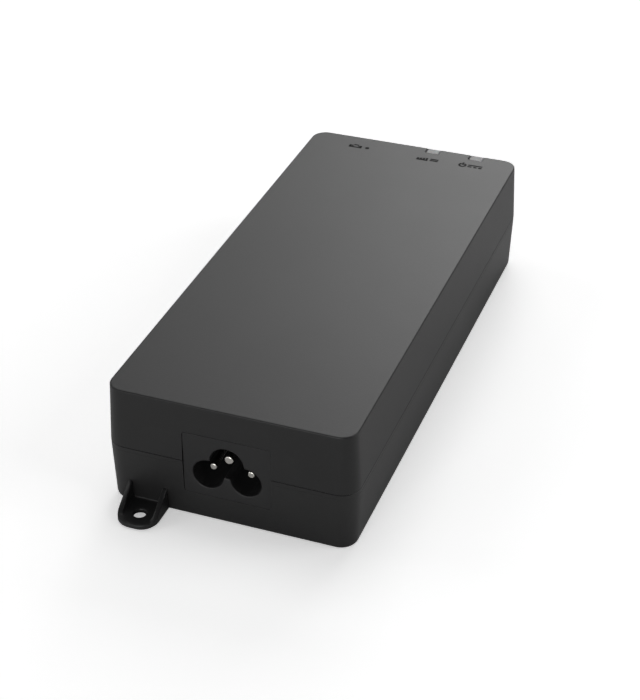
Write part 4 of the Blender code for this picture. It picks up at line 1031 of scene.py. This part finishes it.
def effect_group(name, inputs, outputs, fill):
    """A shader node group of named numbers, where fill(nodes, inputs) returns a value for each output."""
    tree = bpy.data.node_groups.new(name, "ShaderNodeTree")
    for label, value in inputs.items():
        socket = tree.interface.new_socket(name=label, in_out="INPUT", socket_type="NodeSocketFloat")
        socket.default_value = value
    for label in outputs:
        tree.interface.new_socket(name=label, in_out="OUTPUT", socket_type="NodeSocketFloat")
    given = tree.nodes.new("NodeGroupInput").outputs
    result = tree.nodes.new("NodeGroupOutput")
    for socket, value in zip(result.inputs, fill(Nodes(tree), given)):
        tree.links.new(value, socket)
    return tree


def about_one(nodes, value, middle, amount):
    """A shade about 1: the value's distance from its middle, times an amount."""
    return nodes.math("MULTIPLY_ADD", nodes.math("SUBTRACT", value, middle), amount, 1.0)


def fill_grain(nodes, given):
    """Spark-eroded mould texture: cells and fine noise give a height, and painted shade darkens its
    hollows.
    """
    here = nodes.place()
    cells = nodes.cells(here, given["Fineness"])
    fine = nodes.noise(here, nodes.times(given["Fineness"], 2.1), 3.0, 0.6)
    height = nodes.math("ADD", nodes.times(cells, 0.6), nodes.times(fine, 0.7))
    # Painted shade: the shade output is darker where the height is low, in the texture's hollows
    return height, about_one(nodes, height, 0.65, given["Contrast"])


def fill_drift(nodes, given):
    """Slow unevenness from moulding and handling: two sizes of soft cloud about the value 1."""
    here = nodes.place()
    wide, close = nodes.noise(here, 22.0, 2.0, 0.4), nodes.noise(here, 130.0, 3.0, 0.5)
    cloud = nodes.math("ADD", nodes.times(wide, 0.7), nodes.times(close, 0.3))
    return (about_one(nodes, cloud, 0.5, given["Amount"]),)


def fill_wear(nodes, given):
    """Rubbed edges: the piece's own edge attribute, broken up by noise."""
    edge = nodes.new("Attribute", attribute_name="edge").outputs["Fac"]
    broken = nodes.ramp(nodes.noise(nodes.place(), 420.0, 4.0, 0.6), (0.3, 0.35), (0.7, 1.0))
    return (nodes.math("MULTIPLY", nodes.times(edge, broken), given["Amount"], clamp=True),)


def fill_brushing(nodes, given):
    """Fine lines along Y from rolling or turning: noise stretched thirty times."""
    lines = nodes.noise(nodes.place(scale=(1.0, 1 / 30, 1.0)), given["Fineness"], 3.0, 0.65)
    return lines, about_one(nodes, lines, 0.5, given["Contrast"])


RELIEF = ("Height", "Shade")
GRAIN = effect_group("moulded grain", {"Fineness": 2600.0, "Contrast": 0.2}, RELIEF, fill_grain)
DRIFT = effect_group("slow drift", {"Amount": 0.2}, ("Shade",), fill_drift)
WEAR = effect_group("edge wear", {"Amount": 0.3}, ("Mask",), fill_wear)
BRUSHING = effect_group("brushing", {"Fineness": 9000.0, "Contrast": 0.2}, RELIEF, fill_brushing)


class Finish(Nodes):
    """A material under way: a Principled BSDF whose plain numbers are set on its own sockets."""

    def __init__(self, name, drift, **plain):
        self.material = bpy.data.materials.new(name)
        self.material.use_nodes = True
        super().__init__(self.material.node_tree)
        self.shader = self.tree.nodes["Principled BSDF"]
        for label, value in plain.items():
            self.shader.inputs[label.replace("_", " ")].default_value = value
        self.cloud = self.effect(DRIFT, Amount=drift)[0]

    def clouded(self, colour, *shades):
        """A colour with its shades and this material's drift in it."""
        return self.shaded(colour, *shades, self.cloud)

    def done(self, colour, roughness, *glosses, height=None, depth=0.0, strength=1.0):
        """The material, given its colour, a roughness that drifts with other things, and its relief."""
        self.put(self.shader.inputs["Base Color"], colour)
        self.put(self.shader.inputs["Roughness"], self.times(roughness, self.cloud, *glosses))
        if height:
            relief = self.new("Bump", named={"Strength": strength, "Distance": depth, "Height": height})
            self.put(self.shader.inputs["Normal"], relief.outputs[0])
        return self.material


# --- Finishes ---


def moulded(name, colour, rub, roughness, fineness=2600.0, depth=0.012 * MM, specular=0.5, recess=None):
    """Grained thermoplastic: a dark colour with slow drift, mould texture, and edges rubbed lighter.

    Past this depth from the inlet's face, a recess's walls get painted shading: a paler colour and much
    less shine.
    """
    finish = Finish(name, 0.18, Specular_IOR_Level=specular)
    height, shade = finish.effect(GRAIN, Fineness=fineness, Contrast=0.35)
    mask = finish.effect(WEAR, Amount=0.2)[0]
    base = finish.mix(mask, finish.clouded(colour, shade), rub)
    # Painted shading of the recess's depths: a paler colour and lower shine stand in for how light falls
    # inside it
    if recess:
        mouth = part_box("inlet_housing")[0].y + FACE_SHIFT.y
        inward = finish.parts(finish.place((0.0, mouth, 0.0)))[1]
        painted_recess_shade = finish.ramp(finish.times(inward, 1 / recess), (0.15, 0.0), (0.9, 1.0))
        base = finish.mix(painted_recess_shade, base, (0.03, 0.03, 0.031))
        level = finish.shader.inputs["Specular IOR Level"]
        finish.put(level, finish.ramp(painted_recess_shade, (0.0, specular), (1.0, 0.15)))
    return finish.done(base, roughness, height=height, depth=depth)


def metal(name, colour, roughness, fineness=9000.0, contrast=0.2, drift=0.3):
    """Plain or plated metal with fine drawing lines and a roughness that drifts."""
    finish = Finish(name, drift, Metallic=1.0)
    height, shade = finish.effect(BRUSHING, Fineness=fineness, Contrast=contrast)
    base = finish.clouded(colour, shade)
    return finish.done(base, roughness, shade, height=height, depth=0.004 * MM)


def coated(name, colour, roughness, coat=0.0, depth=0.02 * MM):
    """Smooth plastic, lacquer or a dipped coating: gentle drift in colour and gloss, and an uneven skin."""
    finish = Finish(name, 0.25, Coat_Weight=coat, Coat_Roughness=0.15)
    height, shade = finish.effect(GRAIN, Fineness=700.0, Contrast=0.12)
    base = finish.clouded(colour, shade)
    return finish.done(base, roughness, height=height, depth=depth, strength=0.4)


def frosted_pipe():
    """Frosted clear bar: light grey and clouded, with a painted shadow along each window's left side."""
    plain = {"Subsurface_Weight": 0.2, "Subsurface_Scale": 0.5 * MM, "Specular_IOR_Level": 0.3}
    finish = Finish("frosted light pipe", 0.5, **plain)
    height, shade = finish.effect(GRAIN, Fineness=1500.0, Contrast=0.5)
    # Painted shadow: a dark strip within about half a millimetre of each window's left side
    clear = []
    for low, high in WINDOWS:
        across = finish.math("ABSOLUTE", finish.parts(finish.place((low.x, 0.0, 0.0)))[0])
        clear.append(finish.ramp(finish.times(across, 1 / MM), (0.3, 0.0), (0.6, 1.0)))
    lit = finish.clouded((0.42, 0.425, 0.43), shade)
    base = finish.mix(finish.times(*clear), (0.03, 0.03, 0.032), lit)
    return finish.done(base, 0.45, height=height, depth=0.01 * MM, strength=0.5)


def circuit_board():
    """Green solder mask over copper lines, with tinned spots, and bare laminate round the edge."""
    finish = Finish("circuit board", 0.3, Coat_Weight=0.35, Coat_Roughness=0.2)
    here = finish.place()
    lines = {"Scale": 140.0, "Mortar Size": 0.09, "Mortar Smooth": 0.4}
    copper = finish.new("TexBrick", here, named=lines, offset=0.37, squash=1.6).outputs["Fac"]
    spots = finish.ramp(finish.cells(here, 330.0), (0.10, 1.0), (0.14, 0.0))
    rare = finish.ramp(finish.noise(here, 90.0), (0.52, 0.0), (0.56, 1.0))
    tin = finish.times(spots, rare)
    mask = finish.mix(copper, (0.012, 0.11, 0.035), (0.03, 0.2, 0.06))
    faced = finish.mix(tin, mask, (0.6, 0.6, 0.58))
    level = finish.ramp(finish.math("ABSOLUTE", finish.facing_up()), (0.4, 0.0), (0.6, 1.0))
    base = finish.mix(level, finish.clouded((0.42, 0.36, 0.16)), faced)
    height = finish.math("ADD", copper, tin)
    return finish.done(base, 0.42, height=height, depth=0.05 * MM, strength=0.6)


def can(name):
    """An electrolytic can: dark sleeve with a pale stripe down one side, and a bare scored top."""
    low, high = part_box(name)
    centre = middle_of(name)
    finish = Finish(f"can {name}", 0.3)
    node = finish.math
    x, y, z = finish.parts(finish.place((centre[0], centre[1], low.z)))
    turn = node("ABSOLUTE", node("SUBTRACT", node("ARCTAN2", y, x), 0.6))
    stripe = finish.ramp(turn, (0.30, 1.0), (0.33, 0.0))
    dashes = finish.ramp(node("FRACT", finish.times(z, 260.0)), (0.45, 0.25), (0.5, 1.0))
    away = node("SQRT", node("ADD", node("POWER", x, 2.0), node("POWER", y, 2.0)))
    inside = node("LESS_THAN", away, (high.x - centre[0]) * 0.86)
    top = finish.times(node("GREATER_THAN", finish.facing_up(), 0.7), inside)
    near = node("MINIMUM", node("ABSOLUTE", x), node("ABSOLUTE", y))
    score = finish.times(node("LESS_THAN", near, 0.22 * MM), top)
    dark, pale = finish.clouded((0.012, 0.014, 0.035)), finish.shaded((0.5, 0.5, 0.52), dashes)
    finish.put(finish.shader.inputs["Metallic"], top)
    base = finish.mix(top, finish.mix(stripe, dark, pale), finish.clouded((0.68, 0.69, 0.71)))
    return finish.done(base, 0.36, height=node("SUBTRACT", 1.0, score), depth=0.25 * MM, strength=0.8)


def wound_copper(name, turns, layered):
    """Enamelled wire: turns side by side round a ring, or layers up a bobbin, rounded by a sine, with
    painted shade in the grooves between turns.
    """
    low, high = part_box(name)
    size = high - low
    finish = Finish(f"winding {name}", 0.35, Metallic=1.0)
    axes = finish.parts(finish.place((low + high) / 2))
    if layered:
        across = finish.times(axes[2], 2 * math.pi * turns / (high.z - low.z))
    else:
        thin = min(range(3), key=lambda axis: size[axis])
        flat = [axes[axis] for axis in range(3) if axis != thin]
        across = finish.times(finish.math("ARCTAN2", *flat), float(turns))
    wave = finish.math("MULTIPLY_ADD", finish.math("SINE", across), 0.5, 0.5)
    # Painted shade: the colour falls to 0.3 of itself in the grooves between turns
    base = finish.clouded((0.72, 0.27, 0.09), finish.ramp(wave, (0.0, 0.3), (0.45, 1.0)))
    return finish.done(base, 0.3, height=wave, depth=0.3 * MM)


def wrapped_tape():
    """Yellow tape wound in overlapping turns, with a slight step at each edge and painted shade just beside
    each step.
    """
    finish = Finish("winding tape", 0.3, Coat_Weight=0.4, Coat_Roughness=0.2)
    step = finish.math("FRACT", finish.times(finish.parts(finish.place())[2], 300.0))
    # Painted shade: the colour darkens to 0.8 on the low side of each step
    base = finish.clouded((0.75, 0.53, 0.06), finish.ramp(step, (0.0, 0.8), (0.12, 1.0)))
    return finish.done(base, 0.35, height=step, depth=0.06 * MM)


def sintered():
    """Ferrite: dark grey ground faces with pale specks."""
    finish = Finish("ferrite", 0.3)
    here = finish.place()
    speck = finish.ramp(finish.cells(here, 2600.0), (0.08, 1.0), (0.16, 0.0))
    base = finish.mix(speck, finish.clouded((0.05, 0.05, 0.055)), (0.2, 0.2, 0.21))
    return finish.done(base, 0.5, height=finish.noise(here, 3000.0, 3.0), depth=0.02 * MM)


def lamp_lens():
    """A small lamp: milky lens with a yellow phosphor middle."""
    finish = Finish("lamp lens", 0.4)
    middle = finish.ramp(finish.noise(finish.place(), 500.0), (0.4, 0.0), (0.6, 1.0))
    return finish.done(finish.mix(middle, finish.clouded((0.85, 0.85, 0.78)), (0.85, 0.72, 0.3)), 0.3)


def striped_sleeve():
    """The earth lead's sleeve: green with a yellow band wound along it."""
    finish = Finish("earth sleeve", 0.2)
    x, y, z = finish.parts(finish.place())
    along = finish.math("ADD", finish.math("ADD", x, y), z)
    band = finish.ramp(finish.math("FRACT", finish.times(along, 210.0)), (0.45, 0.0), (0.5, 1.0))
    return finish.done(finish.mix(band, finish.clouded((0.05, 0.32, 0.05)), (0.75, 0.62, 0.05)), 0.4)


# --- The object ---

RUB = (0.022, 0.022, 0.023)
PALE_RUB = (0.03, 0.03, 0.031)

cover_shell(moulded("cover plastic", (0.0120, 0.0120, 0.0122), RUB, 0.38))
# Painted light: the base's plastic is paler than the cover's, to lift the shade on the case's lower half
base_shell(moulded("base plastic", (0.0160, 0.0160, 0.0162), RUB, 0.39))
# The inlet's recess gets painted shading past 3 mm in
insert_look = {"fineness": 3600.0, "depth": 0.006 * MM, "recess": 3.0 * MM}
inlet_insert(moulded("inlet plastic", (0.014, 0.014, 0.0145), PALE_RUB, 0.45, **insert_look))
pin_metal = metal("nickel brass", (0.80, 0.78, 0.73), 0.2, contrast=0.1, drift=0.15)
for which in ("line", "neutral", "earth"):
    contact_pin(which, pin_metal)
screw_steel = metal("zinc steel", (0.55, 0.56, 0.58), 0.34)
for number in (1, 2, 3, 4):
    case_screw(number, screw_steel)
shield_tin = metal("tinned sheet", (0.72, 0.72, 0.71), 0.3)
jack_plastic = moulded("jack plastic", (0.012, 0.012, 0.012), (0.03, 0.03, 0.03), 0.4, depth=0.006 * MM)
contact_gold = metal("gold plating", (0.95, 0.68, 0.26), 0.22, contrast=0.08, drift=0.15)
for port in PORTS:
    jack_shield(port, shield_tin)
    jack_housing(port, jack_plastic)
    contact_wires(port, contact_gold)
pipe_plastic = frosted_pipe()
for which in ("left", "right"):
    light_pipe(which, pipe_plastic)
printed_marks(moulded("mark ink", (0.006, 0.006, 0.006), (0.012, 0.012, 0.012), 0.7, specular=0.2))

CHIPS = """
    bridge_rectifier supply_controller optocoupler switch_transistor
    output_rectifier port_controller data_in_transformer power_out_transformer
"""
CARRIED_OVER = (
    (coated("line sleeve", (0.14, 0.05, 0.02), 0.4), "line_lead"),
    (coated("neutral sleeve", (0.02, 0.08, 0.36), 0.4), "neutral_lead"),
    (striped_sleeve(), "earth_lead"),
    (circuit_board(), "main_board"),
    (coated("fuse plastic", (0.035, 0.028, 0.022), 0.4), "fuse"),
    (coated("blue coating", (0.03, 0.1, 0.42), 0.3, coat=0.5, depth=0.06 * MM), "varistor y_capacitor"),
    (coated("film case", (0.72, 0.52, 0.07), 0.38), "x_capacitor"),
    (wound_copper("mains_choke", 34, False), "mains_choke"),
    (wound_copper("output_choke", 14, True), "output_choke"),
    (sintered(), "transformer_core"),
    (wrapped_tape(), "transformer_winding"),
    *((can(name), name) for name in ("bulk_capacitor", "output_capacitor_1", "output_capacitor_2")),
    (
        metal("plain aluminium", (0.74, 0.75, 0.77), 0.38, fineness=5000.0, contrast=0.3),
        "switch_heat_sink output_heat_sink",
    ),
    (screw_steel, "board_screw_left board_screw_right"),
    (lamp_lens(), "status_led_left status_led_right"),
    (moulded("chip plastic", (0.018, 0.018, 0.019), (0.05, 0.05, 0.05), 0.45, specular=0.4), CHIPS),
)
for material, names in CARRIED_OVER:
    for name in names.split():
        slots = frame["nodes"][name].data.materials
        slots.clear()
        slots.append(material)


# --- Floor, lights and camera ---

FLOOR_HALF = 1.15
FLOOR_DROP = 0.05 * MM
FLOOR_GLOW = 0.42
FLOOR_PALE = 1.18
CAMERA_ANGLES = (20.14, 33.35)
CAMERA_DISTANCE = 476.1 * MM
CAMERA_TARGET = Vector((-3.67, 0.0, 4.14)) * MM
FOCAL_LENGTH = 87.91  # in the camera's own millimetres
PANEL_SIZE = 0.7
PANEL_DISTANCE = 1.2
PANELS = (  # name, azimuth, elevation and strength
    ("front left", -45.0, 10.0, 1.11),
    ("low front", 0.0, 10.0, 3.71),
    ("right", 90.0, 35.0, 1.33),
    ("low right", 110.0, 15.0, 1.56),
    ("back", 180.0, 30.0, 1.85),
    ("back left", 200.0, 30.0, 1.08),
    ("high back", 200.0, 70.0, 1.53),
    ("left", 270.0, 35.0, 1.05),
)


def studio_floor():
    """A wide white floor just under the object, which looks lighter than the light it throws back."""
    mesh = bpy.data.meshes.new("studio_floor")
    corners = box_outline(-FLOOR_HALF, FLOOR_HALF, -FLOOR_HALF, FLOOR_HALF)
    mesh.from_pydata([(x, y, -FLOOR_DROP) for x, y in corners], [], [(0, 1, 2, 3)])
    finish = Finish("studio floor", 0.01, Specular_IOR_Level=0.0)
    finish.put(finish.shader.inputs["Base Color"], finish.clouded((0.8, 0.8, 0.8)))
    finish.put(finish.shader.inputs["Roughness"], 0.9)
    glow = finish.new("Emission", (1.0, 1.0, 1.0), FLOOR_GLOW).outputs[0]
    paper = finish.new("BsdfDiffuse", (FLOOR_PALE, FLOOR_PALE, FLOOR_PALE)).outputs[0]
    both = finish.new("AddShader", paper, glow).outputs[0]
    seen = finish.new("LightPath").outputs["Is Camera Ray"]
    mixed = finish.new("MixShader", seen, finish.shader.outputs[0], both).outputs[0]
    finish.put(finish.tree.nodes["Material Output"].inputs["Surface"], mixed)
    mesh.materials.append(finish.material)
    obj = linked("studio_floor", mesh)


def aimed(name, data, azimuth, elevation, distance, target=Vector()):
    """A light or camera that faces a target, from azimuth 0 before the inlet end round towards +X."""
    turn, rise = math.radians(azimuth), math.radians(elevation)
    back = Vector((math.sin(turn) * math.cos(rise), -math.cos(turn) * math.cos(rise), math.sin(rise)))
    obj = linked(name, data)
    obj.location = target + back * distance
    obj.rotation_euler = back.to_track_quat("Z", "Y").to_euler()
    return obj


studio_floor()
for name, azimuth, elevation, radiance in PANELS:
    panel = bpy.data.lights.new(name, "AREA")
    panel.shape = "RECTANGLE"
    panel.size = PANEL_SIZE
    panel.size_y = PANEL_SIZE
    panel.energy = radiance * math.pi * PANEL_SIZE * PANEL_SIZE
    aimed(name, panel, azimuth, elevation, PANEL_DISTANCE)
lens = bpy.data.cameras.new("camera")
lens.lens = FOCAL_LENGTH
lens.clip_start = 0.01
lens.clip_end = 50.0
bpy.context.scene.camera = aimed("camera", lens, *CAMERA_ANGLES, CAMERA_DISTANCE, CAMERA_TARGET)

world = bpy.data.worlds.new("studio")
world.use_nodes = True
sky = Nodes(world.node_tree)
backdrop = world.node_tree.nodes["Background"]
sky.put(backdrop.inputs["Color"], (0.97, 0.97, 0.97))
sky.put(backdrop.inputs["Strength"], sky.new("LightPath").outputs["Is Camera Ray"])
bpy.context.scene.world = world
bpy.context.scene.view_settings.view_transform = "Standard"
